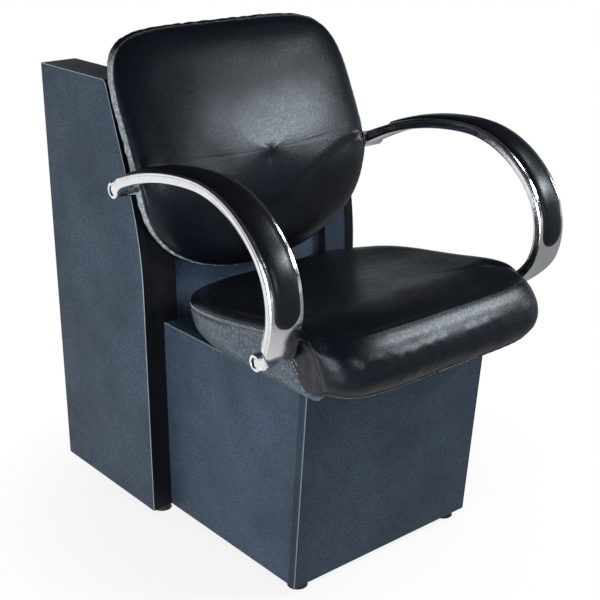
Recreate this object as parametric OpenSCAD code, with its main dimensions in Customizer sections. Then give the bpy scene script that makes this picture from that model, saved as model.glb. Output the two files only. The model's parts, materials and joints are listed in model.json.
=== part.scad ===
// Dryer chair: a vinyl seat and back on a laminate box, with a hollow leaning tower behind them.
// Millimetres, +Z up, -Y to the front. The origin is on the floor below the middle of the outline.

/* [Tower] */
// Width over the outer side panels
tower_w = 500; // [470:1:560]
// Depth at the floor
tower_d = 313; // [290:1:360]
// Height of the side panels above the floor
tower_h = 820; // [790:1:860]
// Height at which the front edge starts to lean back
lean_start = 450; // [430:1:480]
// Radius of the bend from upright to leaning
lean_r = 620; // [450:1:800]
// Lean of the upper front edge from upright, in degrees
lean_angle = 19; // [12:0.5:24]
// Radius of the upper front corner of a side panel
corner_r = 10; // [4:1:20]
// Thickness of the laminate boards
board_t = 18; // [15:1:20]
// Thickness of the light edge band
band_t = 1; // [0.5:0.1:2]
// Width of each hollow wing beside the recess
wing_w = 72; // [64:1:90]
// Step from the side panel's front edge back to the wing front
wing_step = 3; // [1:0.5:6]
// Thickness of the curved wing fronts
wing_front_t = 6; // [4:1:9]
// Step from the wing fronts back to the centre panel
recess_step = 20; // [14:1:30]
// Thickness of the curved centre panel
centre_t = 12; // [9:1:15]
// Height of the centre panel's top edge below the tower top
centre_drop = 30; // [10:1:60]

/* [Appliance board] */
// Distance from the tower's rear to the board's rear face
dryer_board_back = 65; // [40:1:90]
// Height of the board's lower edge
dryer_board_z = 420; // [380:1:460]
// Height of the board itself
dryer_board_h = 300; // [240:1:320]
// Spacing of the bolt holes across
dryer_hole_x = 120; // [80:1:200]
// Spacing of the bolt holes upward
dryer_hole_z = 160; // [100:1:200]
// Diameter of the bolt holes
dryer_hole_d = 9; // [6.5:0.5:11]

/* [Seat box] */
// Width of the box
box_w = 415; // [400:1:425]
// Reach of the box in front of the tower, at its top
box_reach = 398; // [380:1:420]
// How far the front panel draws back towards its lower edge
heel_room = 32; // [0:1:60]
// Height of the deck's upper face
deck_z = 388; // [370:1:400]
// Side of the square cleats inside the box
cleat = 18; // [15:1:25]

/* [Feet] */
// Height of the boards above the floor
foot_h = 15; // [13:1:25]
// Diameter of a foot's pad
foot_d = 36; // [28:1:40]
// Diameter of a pad's upper face
foot_top_d = 30; // [22:1:34]
// Height of a pad
foot_pad_h = 10; // [7:1:11]
// Diameter of a foot's threaded stem
stem_d = 8; // [6:1:10]
// Length of the stem above the pad
stem_l = 36; // [30:1:45]
// Depth of the pad's socket for the stem
socket_h = 6; // [4:1:6]
// Outer diameter of a foot's tee nut
foot_nut_d = 11; // [10.5:0.5:14]
// Flange diameter of a foot's tee nut
foot_flange_d = 16; // [14:0.5:18]

/* [Seat] */
// Width across the seat's top roll
seat_w = 486; // [466:1:505]
// Width at the lower edge of the side band
seat_base_w = 422; // [416:1:440]
// Reach of the seat in front of the tower
seat_reach = 524; // [505:1:550]
// Space between the seat's rear and the tower
seat_rear_gap = 50; // [20:1:70]
// Height of the side seam at the seat's rear end
seat_seam_z = 450; // [440:1:470]
// Rise of the side seam from rear to front
seat_seam_rise = 55; // [20:1:65]
// Height of the seat's top at its rear end
seat_top_z = 466; // [460:1:490]
// Rise of the top from rear to front
seat_top_rise = 73; // [40:1:85]
// Distance behind the front where the top starts to roll down
seat_nose_l = 145; // [100:1:200]
// Radius with which the top rolls down there
seat_nose_r = 230; // [180:1:400]
// Height of the front roll's upper side
seat_front_z = 521; // [505:1:530]
// Height of the front roll's underside
seat_under_z = 413; // [400:1:425]
// Depth of the hollow in the seat's top
seat_dish = 8; // [0:0.5:15]
// Thickness of the seat's plywood board
seat_board_t = 15; // [12:1:18]
// Width of the seat's plywood board
seat_board_w = 378; // [360:1:390]
// Distance from the seat's rear to the board
seat_board_rear = 14; // [8:1:30]
// Reach of the board in front of the tower
seat_board_reach = 440; // [420:1:460]
// Thickness of the wooden side rails
rail_t = 22; // [18:1:24]

/* [Back] */
// Width of the back at its widest
back_w = 520; // [480:1:526]
// Height of the back's top edge
back_top = 899; // [880:1:930]
// Height of the back's lowest point
back_bottom = 464; // [455:1:480]
// Height at which the back is widest
back_wide_z = 684; // [660:1:715]
// Height of the bend in the back
back_bend_z = 650; // [630:1:670]
// Softness of that bend
back_bend_r = 30; // [15:1:60]
// Place of the back's rear face at the bend, from the tower's front
back_rear_y = -7; // [-20:1:-3]
// Depth of the side boxing
back_boxing = 20; // [15:1:30]
// Depth of the rolled edge in front of the boxing
back_roll = 18; // [12:1:30]
// Further crown of the face
back_crown = 24; // [10:1:35]
// Depth of the sewn crease across the face
crease_depth = 7; // [2:0.5:10]
// Height of the crease at the sides
crease_side_z = 680; // [660:1:700]
// Drop of the crease at the middle
crease_drop = 85; // [40:1:110]
// Half width of the drop
crease_reach = 120; // [80:1:160]
// Half width of the crease's furrow
crease_w = 20; // [12:1:30]
// Thickness of the back's wooden board
back_board_t = 24; // [18:1:26]
// Thickness of the panel that closes the back's rear
back_panel_t = 3; // [2:0.5:4]
// Thickness of the shaped ribs that carry the back
rib_t = 30; // [24:1:36]
// Distance of each rib's middle from the centre line
rib_x = 120; // [90:1:140]

/* [Arms] */
// Distance of an arm's inner face from the centre line
arm_x = 265; // [260:1:280]
// Width of an arm across its rims
arm_w = 61; // [54:1:66]
// Thickness of the arm's bar
bar_t = 18; // [14:1:22]
// Height of the bar's inner side at its highest point
arm_top_z = 714; // [700:1:730]
// Distance of that highest point in front of the tower
arm_top_reach = 265; // [250:1:280]
// Radius from the highest point to the rear
arm_rear_r = 516; // [480:1:560]
// Turn of the rear arc in degrees
arm_rear_angle = 29.4; // [28:0.1:30]
// Radius of the first forward arc
arm_first_r = 191; // [185:1:197]
// Radius of the second forward arc
arm_second_r = 126; // [120:1:132]
// Radius of the last arc, down to the front boss
arm_third_r = 111; // [106:1:116]
// Diameter of the bosses at both ends
boss_d = 30; // [28:1:34]
// Length of the rear boss
rear_boss_l = 46; // [40:1:52]
// Space between the back's side and the rear boss
rear_boss_gap = 0.5; // [0.5:0.5:3]
// Length of the front boss
front_boss_l = 42; // [36:1:50]
// Distance from a seat rail's face to the front boss
front_boss_gap = 26; // [24:1:31]
// Space between the seat rail's face and the boss's inner end
spigot_gap = 15; // [12:0.5:18]
// Diameter of the open counterbore in a boss
counterbore_d = 17; // [15.5:0.5:20]
// Depth of that counterbore
counterbore_l = 22; // [14:1:26]
// Diameter of the arm bolts
arm_bolt_d = 8; // [6:1:8]
// Length of an arm bolt beyond the boss
arm_bolt_grip = 34; // [30:1:38]
// Width of the armrest pad
pad_w = 48; // [40:1:50]
// Width of the inner rim beside the pad
rim_w = 7; // [5:0.5:9]
// Depth of the pad's seat in the bar
pad_seat = 5; // [3:0.5:7]
// Height of the pad's edges above the bar
pad_edge = 0.5; // [0:0.5:2]
// Height of the pad's crown above the bar
pad_crown = 4.5; // [3:0.5:8]

/* [Hidden] */

$fn = 48;

// One overrun for every cut, and the clearances
over = 1;
fit = 0.05;
soft_fit = 0.6;
bolt_room = 0.4;

// Sides: left is -X, the side that a sitter has on the right hand
LEFT = -1;
RIGHT = 1;

laminate = [0.27, 0.32, 0.37];
laminate_dark = [0.19, 0.23, 0.27];
edge_light = [0.52, 0.58, 0.62];
wood = [0.74, 0.62, 0.45];
vinyl = [0.13, 0.15, 0.18];
foam_colour = [0.88, 0.86, 0.76];
steel = [0.72, 0.74, 0.77];
chrome_colour = [0.82, 0.85, 0.89];
black = [0.05, 0.05, 0.06];

// Middle of the whole outline, which the origin lies below
y_shift = (seat_reach - tower_d) / 2;

// Tower lines
side_in = tower_w / 2 - board_t;
wing_in = tower_w / 2 - wing_w;
inner_side_out = wing_in + board_t;
cap_z = tower_h - board_t;
bottom_z = foot_h + board_t;
front_in = wing_step + wing_front_t;
centre_in = wing_step + recess_step;
lean_steps = 10;
corner_steps = 6;
lean_end_y = lean_r * (1 - cos(lean_angle));
lean_end_z = lean_start + lean_r * sin(lean_angle);
stretcher_h = 100;

// Box lines
box_half = box_w / 2;
heel_slope = heel_room / (deck_z - foot_h);
front_panel_t = board_t * sqrt(1 + heel_slope * heel_slope);
box_cleat_z = 60;
box_cleat_h = 280;
deck_cleat_gap = 20;
deck_cleat_l = 320;

// Wood screws of the carcass
screw_d = 4;
screw_l = 34;
screw_head_d = 8;
screw_head_h = 3;
screw_z_shares = [0.1, 0.5, 0.9];
screw_x = (wing_in + box_half - board_t) / 2;

// Seat lines
seat_half = seat_w / 2;
seat_rear_y = -seat_rear_gap;
seat_mid_y = -(seat_reach + seat_rear_gap) / 2;
seat_half_d = (seat_reach - seat_rear_gap) / 2;
seat_base_share = seat_base_w / seat_w;
seat_board_top = deck_z + seat_board_t;
seat_board_y = seat_rear_y - seat_board_rear;
cover_t = 3;
rail_drop = 10;
rail_rear = 160;
rail_bevel_l = 76;
rail_bevel_h = 17;
rail_out = seat_base_w / 2 - cover_t - over;
seat_points = 64;
front_power = 6.7;
seam_power = 1.25;
rear_draw_share = 0.035;
rear_power = 5;

// Bolts that hold the seat on the deck
seat_bolt_d = 6;
seat_bolt_x = 140;
seat_bolt_head_d = 12;
seat_bolt_head_h = 4;
seat_nut_d = 9;
seat_nut_flange_d = 18;
seat_nut_flange_t = 1.5;
seat_bolt_share = 0.28;

// Back lines
back_half = back_w / 2;
back_points = 64;
upper_power = 5.5;
lower_across_power = 2.1;
lower_down_power = 2.55;
back_up_share = 0.47;
back_down_share = 0.085;
back_board_share = 0.92;
back_panel_share = 0.9;
back_steps = 18;
rib_low_share = 0.2;
rib_high_share = 0.66;
back_bolt_d = 6;
back_bolt_head_d = 12;
back_bolt_head_h = 4;
back_bolt_shares = [0.1, 0.82];
back_bolt_bite = 16;

// Arm lines
rear_boss_x = back_half + rear_boss_gap;
front_boss_x = rail_out + front_boss_gap;
spigot_x = rail_out + spigot_gap;
arm_step_angle = 4;
arm_first_angle = 48.5;
arm_second_angle = 93.5;
arm_third_angle = 169.5;
arm_start = [-arm_top_reach, arm_top_z];
neck_y = 60;
web_high_share = 0.3;
web_low_share = 0.94;
pad_from_angle = -23;
pad_to_angle = 106;
pad_steps = 34;
arm_head_h = 5;
arm_head_d = 13;
washer_t = 1.5;
insert_d = 12;
insert_l = 20;
insert_room = 4;

// Feet
foot_nut_l = 13;
foot_flange_t = 1.5;
front_foot_x = box_half - board_t - foot_flange_d / 2 - over;
front_foot_y = box_front_y(bottom_z, front_panel_t) + foot_flange_d / 2 + over;
wing_foot_x = (inner_side_out + side_in) / 2;
middle_foot_y = front_in + foot_d / 2 - over;
rear_foot_y = tower_d - foot_d / 2 - board_t / 2;

// Shapes that repeat

// An outline in the Y-Z plane, extruded across from x0 to x1
module upright(x0, x1, points) {
    translate([x0, 0, 0])
        rotate([90, 0, 90])
            linear_extrude(x1 - x0)
                polygon(points);
}

// An outline in the X-Z plane, extruded from y0 back to y1
module facing(y0, y1, points) {
    translate([0, y1, 0])
        rotate([90, 0, 0])
            linear_extrude(y1 - y0)
                polygon(points);
}

module block(low, high) {
    translate(low)
        cube(high - low);
}

// The left side is the mirror image of the right side
module on_side(side) {
    mirror([side < 0 ? 1 : 0, 0, 0])
        children();
}

module both_sides() {
    for (side = [LEFT, RIGHT])
        on_side(side)
            children();
}

module rod_x(x0, x1, y, z, d) {
    translate([x0, y, z])
        rotate([0, 90, 0])
            cylinder(h = x1 - x0, d = d);
}

module rod_y(x, y0, y1, z, d) {
    translate([x, y1, z])
        rotate([90, 0, 0])
            cylinder(h = y1 - y0, d = d);
}

module rod_z(x, y, z0, z1, d) {
    translate([x, y, z0])
        cylinder(h = z1 - z0, d = d);
}

module placed() {
    translate([0, y_shift, 0])
        children();
}

function reversed(list) = [for (i = [len(list) - 1 : -1 : 0]) list[i]];

function clamped(v) = max(0, min(1, v));

function smooth(v) = let (c = clamped(v)) c * c * (3 - 2 * c);

function mixed(a, b, share) = a + (b - a) * share;

function signed_power(v, p) = sign(v) * pow(abs(v), p);

// Closed forms made of rings of equal count, from the lowest ring to the highest

function flat_list(lists) = [for (list = lists) for (item = list) item];

function ring_side(count, base) = [
    for (i = [0 : count - 1])
        let (a = base + i, b = base + (i + 1) % count)
            each [[a, a + count, b + count], [a, b + count, b]]
];

function ring_sides(count, rings, base) =
    flat_list([for (k = [0 : rings - 2]) ring_side(count, base + k * count)]);

function ring_fan(count, base, tip) =
    [for (i = [0 : count - 1]) [tip, base + (i + 1) % count, base + i]];

function middle(points) = [for (k = [0 : 2]) sum_of([for (q = points) q[k]]) / len(points)];

function sum_of(list) = list * [for (q = list) 1];

function turned(faces) = [for (f = faces) [f[0], f[2], f[1]]];

// A solid with a tip below the first ring and one above the last
module ring_solid(rings, low_tip, high_tip) {
    count = len(rings[0]);
    points = concat(flat_list(rings), [low_tip, high_tip]);
    total = count * len(rings);
    polyhedron(points, concat(
        ring_sides(count, len(rings), 0),
        ring_fan(count, total - count, total + 1),
        turned(ring_fan(count, 0, total))));
}

// A skin that is open below: an outer form and an inner form joined at their first rings
module ring_skin(outer, outer_tip, inner, inner_tip) {
    count = len(outer[0]);
    out_n = count * len(outer);
    in_n = count * len(inner);
    points = concat(flat_list(outer), flat_list(inner), [outer_tip, inner_tip]);
    rim = [for (i = [0 : count - 1])
        let (a = i, b = (i + 1) % count)
            each [[a, b, out_n + b], [a, out_n + b, out_n + a]]];
    polyhedron(points, concat(
        ring_sides(count, len(outer), 0),
        ring_fan(count, out_n - count, out_n + in_n),
        turned(ring_sides(count, len(inner), out_n)),
        turned(ring_fan(count, out_n + in_n - count, out_n + in_n + 1)),
        rim));
}

// Tower: the front line leans back in one bend

function front_y(z, inset) =
    z <= lean_start ? inset :
    z < lean_start + (lean_r - inset) * sin(lean_angle)
        ? lean_r - sqrt(pow(lean_r - inset, 2) - pow(z - lean_start, 2))
        : lean_end_y + (z - lean_end_z) * tan(lean_angle) + inset / cos(lean_angle);

function front_line(inset, z0, z1) = concat(
    [[front_y(z0, inset), z0]],
    [for (i = [0 : lean_steps])
        let (a = lean_angle * i / lean_steps,
             r = lean_r - inset,
             z = lean_start + r * sin(a))
            if (z > z0 && z < z1) [lean_r - r * cos(a), z]],
    [[front_y(z1, inset), z1]]);

// Front and top edge of a side panel, round its upper corner
function side_edge(inset) =
    let (cz = tower_h - corner_r,
         cy = front_y(cz, 0) + corner_r / cos(lean_angle),
         r = corner_r - inset,
         low = cz + r * sin(lean_angle))
    concat(
        front_line(inset, foot_h, min(low, cz)),
        [for (i = [0 : corner_steps])
            let (a = mixed(180 - lean_angle, 90, i / corner_steps))
                [cy + r * cos(a), cz + r * sin(a)]],
        [[tower_d, tower_h - inset]]);

function strip(inset, t, z0, z1) =
    concat(front_line(inset, z0, z1), reversed(front_line(inset + t, z0, z1)));

module tower_side(side) {
    color(laminate)
        on_side(side)
            upright(side_in, tower_w / 2, concat(side_edge(band_t), [[tower_d, foot_h]]));
}

module edge_bands() {
    color(edge_light)
        both_sides()
            upright(side_in, tower_w / 2, concat(side_edge(0), reversed(side_edge(band_t))));
}

module carcass_screw_places() {
    for (share = screw_z_shares)
        translate([screw_x, 0, box_cleat_z + box_cleat_h * share])
            children();
}

module carcass_screw(room) {
    rod_y(0, wing_step - cleat, wing_step - cleat + screw_l, 0, screw_d + 2 * room);
}

module inner_side(side) {
    color(laminate_dark)
        on_side(side)
            difference() {
                upright(wing_in, inner_side_out, concat(
                    front_line(front_in, foot_h, cap_z), [[tower_d, cap_z], [tower_d, foot_h]]));
                carcass_screw_places()
                    carcass_screw(fit);
            }
}

module wing_front(side) {
    color(laminate_dark)
        on_side(side)
            difference() {
                upright(wing_in, side_in, strip(wing_step, wing_front_t, foot_h, cap_z));
                carcass_screw_places()
                    carcass_screw(fit);
            }
}

module wing_top(side) {
    color(laminate)
        on_side(side)
            upright(wing_in, side_in, concat(
                front_line(wing_step, cap_z, tower_h), [[tower_d, tower_h], [tower_d, cap_z]]));
}

module wing_back(side) {
    color(laminate_dark)
        on_side(side)
            block([inner_side_out, tower_d - board_t, bottom_z], [side_in, tower_d, cap_z]);
}

module wing_bottom(side) {
    color(wood)
        on_side(side)
            difference() {
                block([inner_side_out, front_in, foot_h], [side_in, tower_d, bottom_z]);
                foot_bore(wing_foot_x, middle_foot_y);
                foot_bore(wing_foot_x, rear_foot_y);
            }
}

module centre_panel() {
    color(laminate_dark)
        difference() {
            upright(-wing_in, wing_in, strip(centre_in, centre_t, foot_h, tower_h - centre_drop));
            back_bolt_places()
                back_bolt_bore();
        }
}

module dryer_board() {
    top = dryer_board_z + dryer_board_h;
    middle = dryer_board_z + dryer_board_h / 2;
    rear = tower_d - dryer_board_back;
    color(laminate_dark)
        difference() {
            block([-wing_in, rear - board_t, dryer_board_z], [wing_in, rear, top]);
            for (x = [-dryer_hole_x / 2, dryer_hole_x / 2])
                for (z = [middle - dryer_hole_z / 2, middle + dryer_hole_z / 2])
                    rod_y(x, rear - board_t - over, rear + over, z, dryer_hole_d);
        }
}

module rear_stretcher() {
    color(laminate_dark)
        block([-wing_in, tower_d - board_t, foot_h], [wing_in, tower_d, foot_h + stretcher_h]);
}

// Seat box: its front panel slopes back to give room for the heels

function box_front_y(z, inset) = -box_reach + inset + (deck_z - z) * heel_slope;

module box_side(side) {
    color(laminate)
        on_side(side)
            upright(box_half - board_t, box_half, [
                [wing_step, foot_h], [wing_step, deck_z],
                [box_front_y(deck_z, front_panel_t), deck_z],
                [box_front_y(foot_h, front_panel_t), foot_h]]);
}

module box_front() {
    color(laminate)
        upright(-box_half, box_half, [
            [box_front_y(foot_h, 0), foot_h], [box_front_y(deck_z, 0), deck_z],
            [box_front_y(deck_z, front_panel_t), deck_z],
            [box_front_y(foot_h, front_panel_t), foot_h]]);
}

module box_board(z0, z1) {
    x = box_half - board_t;
    upright(-x, x, [
        [wing_step, z0], [wing_step, z1],
        [box_front_y(z1, front_panel_t), z1], [box_front_y(z0, front_panel_t), z0]]);
}

module box_deck() {
    color(laminate_dark)
        difference() {
            box_board(deck_z - board_t, deck_z);
            seat_bolt_places()
                rod_z(0, 0, deck_z - board_t - over, deck_z + over, seat_bolt_d + 2 * bolt_room);
        }
}

module box_floor() {
    color(wood)
        difference() {
            box_board(foot_h, bottom_z);
            both_sides()
                foot_bore(front_foot_x, front_foot_y);
        }
}

module deck_cleats() {
    x = box_half - board_t;
    z = deck_z - board_t;
    y = wing_step - cleat - deck_cleat_gap;
    color(wood)
        both_sides()
            block([x - cleat, y - deck_cleat_l, z - cleat], [x, y, z]);
}

module box_cleats() {
    x = box_half - board_t;
    color(wood)
        both_sides()
            difference() {
                block([x - cleat, wing_step - cleat, box_cleat_z],
                      [x, wing_step, box_cleat_z + box_cleat_h]);
                carcass_screw_places()
                    carcass_screw(fit);
            }
}

module carcass_screws() {
    color(steel)
        both_sides()
            carcass_screw_places() {
                carcass_screw(0);
                rod_y(0, wing_step - cleat - screw_head_h, wing_step - cleat, 0, screw_head_d);
            }
}

// Seat: rings of a rounded outline, from the lower edge up to the crown.
// In each table the first entry is the lowest ring.

function band_share(share) = mixed(seat_base_share, 1, share);

seat_side_shares = [seat_base_share, band_share(0.13), band_share(0.36), band_share(0.47),
                    band_share(0.89), 1, 0.98, 0.92, 0.8, 0.55, 0.28];
seat_rear_shares = [0.985, 0.985, 0.99, 0.99, 1, 1, 0.985, 0.92, 0.8, 0.55, 0.28];
seat_front_shares = [0.93, 0.97, 0.99, 1, 1, 0.985, 0.96, 0.91, 0.8, 0.55, 0.28];
seat_seam_shares = [0, 0.4, 0.85, 1, 1, 1, 1, 1, 1, 1, 1];
seat_roll_shares = [0, 0, 0, 0, 0.3, 0.55, 0.88, 1, 1, 1, 1];
seat_nose_shares = [0.02, 0.17, 0.31, 0.45, 0.58, 0.69, 0.8, 0.91, 1, 1, 1];
seat_dish_shares = [0, 0, 0, 0, 0, 0, 0, 0, 0.25, 0.8, 1];

// 0 at the seat's rear end, 1 at its front
function forward(y) = clamped((seat_rear_y - y) / (seat_half_d * 2));

function seat_seam(y) = seat_seam_z + seat_seam_rise * pow(forward(y), seam_power);

function seat_top(y) =
    seat_top_z + seat_top_rise * (seat_rear_y - y) / (seat_half_d * 2)
        - pow(max(0, seat_nose_l - seat_reach - y), 2) / (2 * seat_nose_r);

// 0 along the sides, 1 round the front roll
function frontness(t) = smooth((-sin(t) - 0.15) / 0.3);

function seat_place(t, side, rear, front) =
    let (c = cos(t),
         s = sin(t),
         p = 2 / (s < 0 ? front_power : rear_power),
         x_share = s < 0 ? mixed(side, front, frontness(t)) : side,
         y_share = s < 0 ? front : rear)
    let (y = seat_mid_y + seat_half_d * y_share * signed_power(s, p))
    [seat_half * x_share * signed_power(c, p) * (1 - rear_draw_share * smooth(1 - 2.4 * forward(y))), y];

function seat_height(t, y, seam, roll, nose, dish, crowned) =
    let (side_z = deck_z + seam * (seat_seam(y) - deck_z) + roll * (seat_top(y) - seat_seam(y)),
         top = crowned ? seat_top(y) : seat_front_z,
         nose_z = seat_under_z + nose * (top - seat_under_z))
    mixed(side_z, nose_z, frontness(t)) - dish * seat_dish;

function seat_ring(side, rear, front, seam, roll, nose, dish, drop, crowned) = [
    for (i = [0 : seat_points - 1])
        let (t = 360 * i / seat_points,
             q = seat_place(t, side, rear, front))
            [q[0], q[1], seat_height(t, q[1], seam, roll, nose, dish, crowned) - drop]
];

seat_last = len(seat_side_shares) - 1;

seat_outer = [
    for (k = [0 : seat_last])
        seat_ring(seat_side_shares[k], seat_rear_shares[k], seat_front_shares[k],
                  seat_seam_shares[k], seat_roll_shares[k], seat_nose_shares[k],
                  seat_dish_shares[k], 0, k >= seat_last - 2)
];

// Outline of the plywood board, grown by a margin
function seat_board_ring(z, grow) = [
    for (i = [0 : seat_points - 1])
        let (t = 360 * i / seat_points,
             p = 2 / rear_power,
             half_d = (seat_board_reach + seat_board_y) / 2,
             mid = (seat_board_y - seat_board_reach) / 2)
            [(seat_board_w / 2 + grow) * signed_power(cos(t), p),
             mid + (half_d + grow) * signed_power(sin(t), p), z]
];

seat_low_ring = seat_ring(0.857, 0.96, 0.93, 0, 0, 0.1, 0, -seat_board_t, false);
seat_ledge_ring = seat_ring(0.895, 0.97, 0.97, 0.88, 0, 0.5, 0, 0, false);
seat_roll_ring = seat_ring(0.965, 0.975, 0.95, 1, 0.5, 0.76, 0, cover_t, false);
seat_rim_ring = seat_ring(0.9, 0.9, 0.88, 1, 1, 0.9, 0, cover_t, false);
seat_crown_ring = seat_ring(0.55, 0.55, 0.55, 1, 1, 1, 0.8, cover_t, true);

function seat_tip(drop) = [0, seat_mid_y, seat_top(seat_mid_y) - seat_dish - drop];

module seat_form_cover() {
    ring_skin(seat_outer, seat_tip(0),
              [seat_board_ring(deck_z, soft_fit), seat_board_ring(seat_board_top, soft_fit),
               seat_low_ring, seat_ledge_ring, seat_roll_ring, seat_rim_ring, seat_crown_ring],
              seat_tip(cover_t));
}

function rail_top(y) = seat_seam(y) - rail_drop;

module seat_rail_solid(grow) {
    y0 = front_boss[0] - 1.5 * boss_d;
    y1 = seat_board_y - rail_rear;
    upright(rail_out - rail_t - grow, rail_out + grow, [
        [y0 + rail_bevel_l, seat_board_top - grow], [y0 - grow, seat_board_top + rail_bevel_h - grow],
        [y0 - grow, rail_top(y0) + grow], [y1 + grow, rail_top(y1) + grow],
        [y1 + grow, seat_board_top - grow]]);
}

module seat_foam() {
    color(foam_colour)
        difference() {
            ring_solid([seat_board_ring(seat_board_top, soft_fit), seat_low_ring, seat_ledge_ring,
                        seat_roll_ring, seat_rim_ring, seat_crown_ring],
                       [0, seat_mid_y, seat_board_top], seat_tip(cover_t));
            both_sides() {
                seat_rail_solid(soft_fit);
                rod_x(rail_out - over, seat_half, front_boss[0], front_boss[1],
                      arm_bolt_d + 2 * bolt_room);
            }
        }
}

module seat_cover() {
    color(vinyl)
        difference() {
            seat_form_cover();
            both_sides()
                rod_x(rail_out - over, seat_half, front_boss[0], front_boss[1],
                      arm_bolt_d + 2 * bolt_room);
        }
}

module seat_bolt_places() {
    for (x = [-seat_bolt_x, seat_bolt_x])
        for (s = [-1, 1])
            translate([x, -box_reach / 2 + s * box_reach * seat_bolt_share, 0])
                children();
}

module seat_board() {
    color(wood)
        difference() {
            translate([0, 0, deck_z])
                linear_extrude(seat_board_t)
                    polygon([for (q = seat_board_ring(deck_z, 0)) [q[0], q[1]]]);
            seat_bolt_places() {
                rod_z(0, 0, deck_z - over, seat_board_top + over, seat_nut_d);
                rod_z(0, 0, seat_board_top - seat_nut_flange_t, seat_board_top + over,
                      seat_nut_flange_d);
            }
        }
}

module seat_rail(side) {
    color(wood)
        on_side(side)
            difference() {
                seat_rail_solid(0);
                insert_bore(rail_out, front_boss);
            }
}

module seat_tee_nuts() {
    color(steel)
        seat_bolt_places()
            difference() {
                union() {
                    rod_z(0, 0, deck_z + over, seat_board_top, seat_nut_d);
                    rod_z(0, 0, seat_board_top - seat_nut_flange_t, seat_board_top,
                          seat_nut_flange_d);
                }
                rod_z(0, 0, deck_z, seat_board_top + over, seat_bolt_d + 2 * fit);
            }
}

module seat_bolts() {
    z = deck_z - board_t;
    color(steel)
        seat_bolt_places() {
            rod_z(0, 0, z, seat_board_top - over, seat_bolt_d);
            rod_z(0, 0, z - seat_bolt_head_h, z, seat_bolt_head_d);
        }
}

// Back: rings of a rounded outline, from the rear rim forward to the crown.
// They are drawn lying down and then stood up.

function back_y(z) =
    let (d = z - back_bend_z)
    back_rear_y + (back_up_share + back_down_share) / 2 * sqrt(d * d + back_bend_r * back_bend_r)
        + (back_up_share - back_down_share) / 2 * d;

function back_outline(t, share) =
    let (c = cos(t), s = sin(t))
    s > 0
        ? [back_half * share * signed_power(c, 2 / upper_power),
           back_wide_z + (back_top - back_wide_z) * share * signed_power(s, 2 / upper_power)]
        : [back_half * share * signed_power(c, 2 / lower_across_power),
           back_wide_z + (back_wide_z - back_bottom) * share * signed_power(s, 2 / lower_down_power)];

function crease_z(x) = crease_side_z - crease_drop * exp(-pow(x / crease_reach, 2));

function crease(x, z) = crease_depth * exp(-pow((z - crease_z(x)) / crease_w, 2));

function back_point(t, share, depth, creased) =
    let (q = back_outline(t, share))
    [q[0], q[1], depth - creased * crease(q[0], q[1]) - back_y(q[1])];

function back_ring(share, depth, creased) =
    [for (i = [0 : back_points - 1]) back_point(360 * i / back_points, share, depth, creased)];

back_outline_shares = [0.985, 0.995, 1, 0.998, 0.988, 0.99, 0.97, 0.93, 0.84, 0.7, 0.52, 0.28];
back_boxing_shares = [0, 0.1, 0.5, 0.95, 1.05, 1, 1, 1, 1, 1, 1, 1];
back_roll_shares = [0, 0, 0, 0, 0, 0.2, 0.65, 0.9, 1, 1, 1, 1];
back_crown_shares = [0, 0, 0, 0, 0, 0, 0, 0.15, 0.45, 0.7, 0.87, 0.97];
back_crease_shares = [0, 0, 0, 0, 0, 0.2, 0.7, 1, 1, 1, 1, 1];

back_outer = [
    for (k = [0 : len(back_outline_shares) - 1])
        back_ring(back_outline_shares[k],
                  back_boxing * back_boxing_shares[k] + back_roll * back_roll_shares[k]
                      + back_crown * back_crown_shares[k],
                  back_crease_shares[k])
];

back_depth = back_boxing + back_roll + back_crown;

back_inner = [
    back_ring(back_board_share, back_board_t, 0),
    back_ring(0.955, back_board_t + over, 0),
    back_ring(0.9, back_boxing + back_roll * 0.95 - cover_t, 0.8),
    back_ring(0.68, back_boxing + back_roll + back_crown * 0.72 - cover_t, 1),
    back_ring(0.4, back_boxing + back_roll + back_crown * 0.92 - cover_t, 1)
];

function back_tip(depth) = [0, back_wide_z, depth - back_y(back_wide_z)];

module stood_up() {
    rotate([90, 0, 0])
        children();
}

module back_cover() {
    color(vinyl)
        difference() {
            stood_up()
                ring_skin(back_outer, back_tip(back_depth),
                          concat([back_ring(back_board_share, 0, 0)], back_inner),
                          back_tip(back_depth - cover_t));
            both_sides()
                rod_x(back_edge_x - insert_l, back_half + over,
                      rear_boss[0], rear_boss[1], arm_bolt_d + 2 * bolt_room);
        }
}

module back_foam() {
    color(foam_colour)
        difference() {
            stood_up()
                ring_solid(concat([back_ring(back_board_share, back_board_t / 2, 0)], back_inner),
                           back_tip(back_board_t / 2), back_tip(back_depth - cover_t));
            back_sheet(1, back_board_t + fit, -back_board_t);
        }
}

// A sheet that follows the back's rear face, from one depth to another
module back_sheet(share, near, far) {
    z0 = back_bottom;
    z1 = back_top;
    front = [for (i = [0 : back_steps])
        let (z = mixed(z0, z1, i / back_steps)) [back_y(z) - near, z]];
    rear = [for (i = [0 : back_steps])
        let (z = mixed(z0, z1, i / back_steps)) [back_y(z) - far, z]];
    intersection() {
        upright(-back_half, back_half, concat(front, reversed(rear)));
        facing(-back_half, back_half,
               [for (i = [0 : back_points - 1]) back_outline(360 * i / back_points, share)]);
    }
}

module back_board() {
    color(wood)
        difference() {
            back_sheet(back_board_share - 0.003, back_board_t - fit, 0);
            both_sides()
                insert_bore(back_edge_x, rear_boss);
            back_bolt_places()
                back_bolt_shank(fit);
        }
}

module back_panel() {
    color(vinyl)
        difference() {
            back_sheet(back_panel_share, 0, -back_panel_t);
            back_bolt_places()
                back_bolt_shank(bolt_room);
        }
}

rib_z0 = mixed(back_bottom, back_top, rib_low_share);
rib_z1 = min(mixed(back_bottom, back_top, rib_high_share), tower_h - centre_drop - rib_t);

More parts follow.
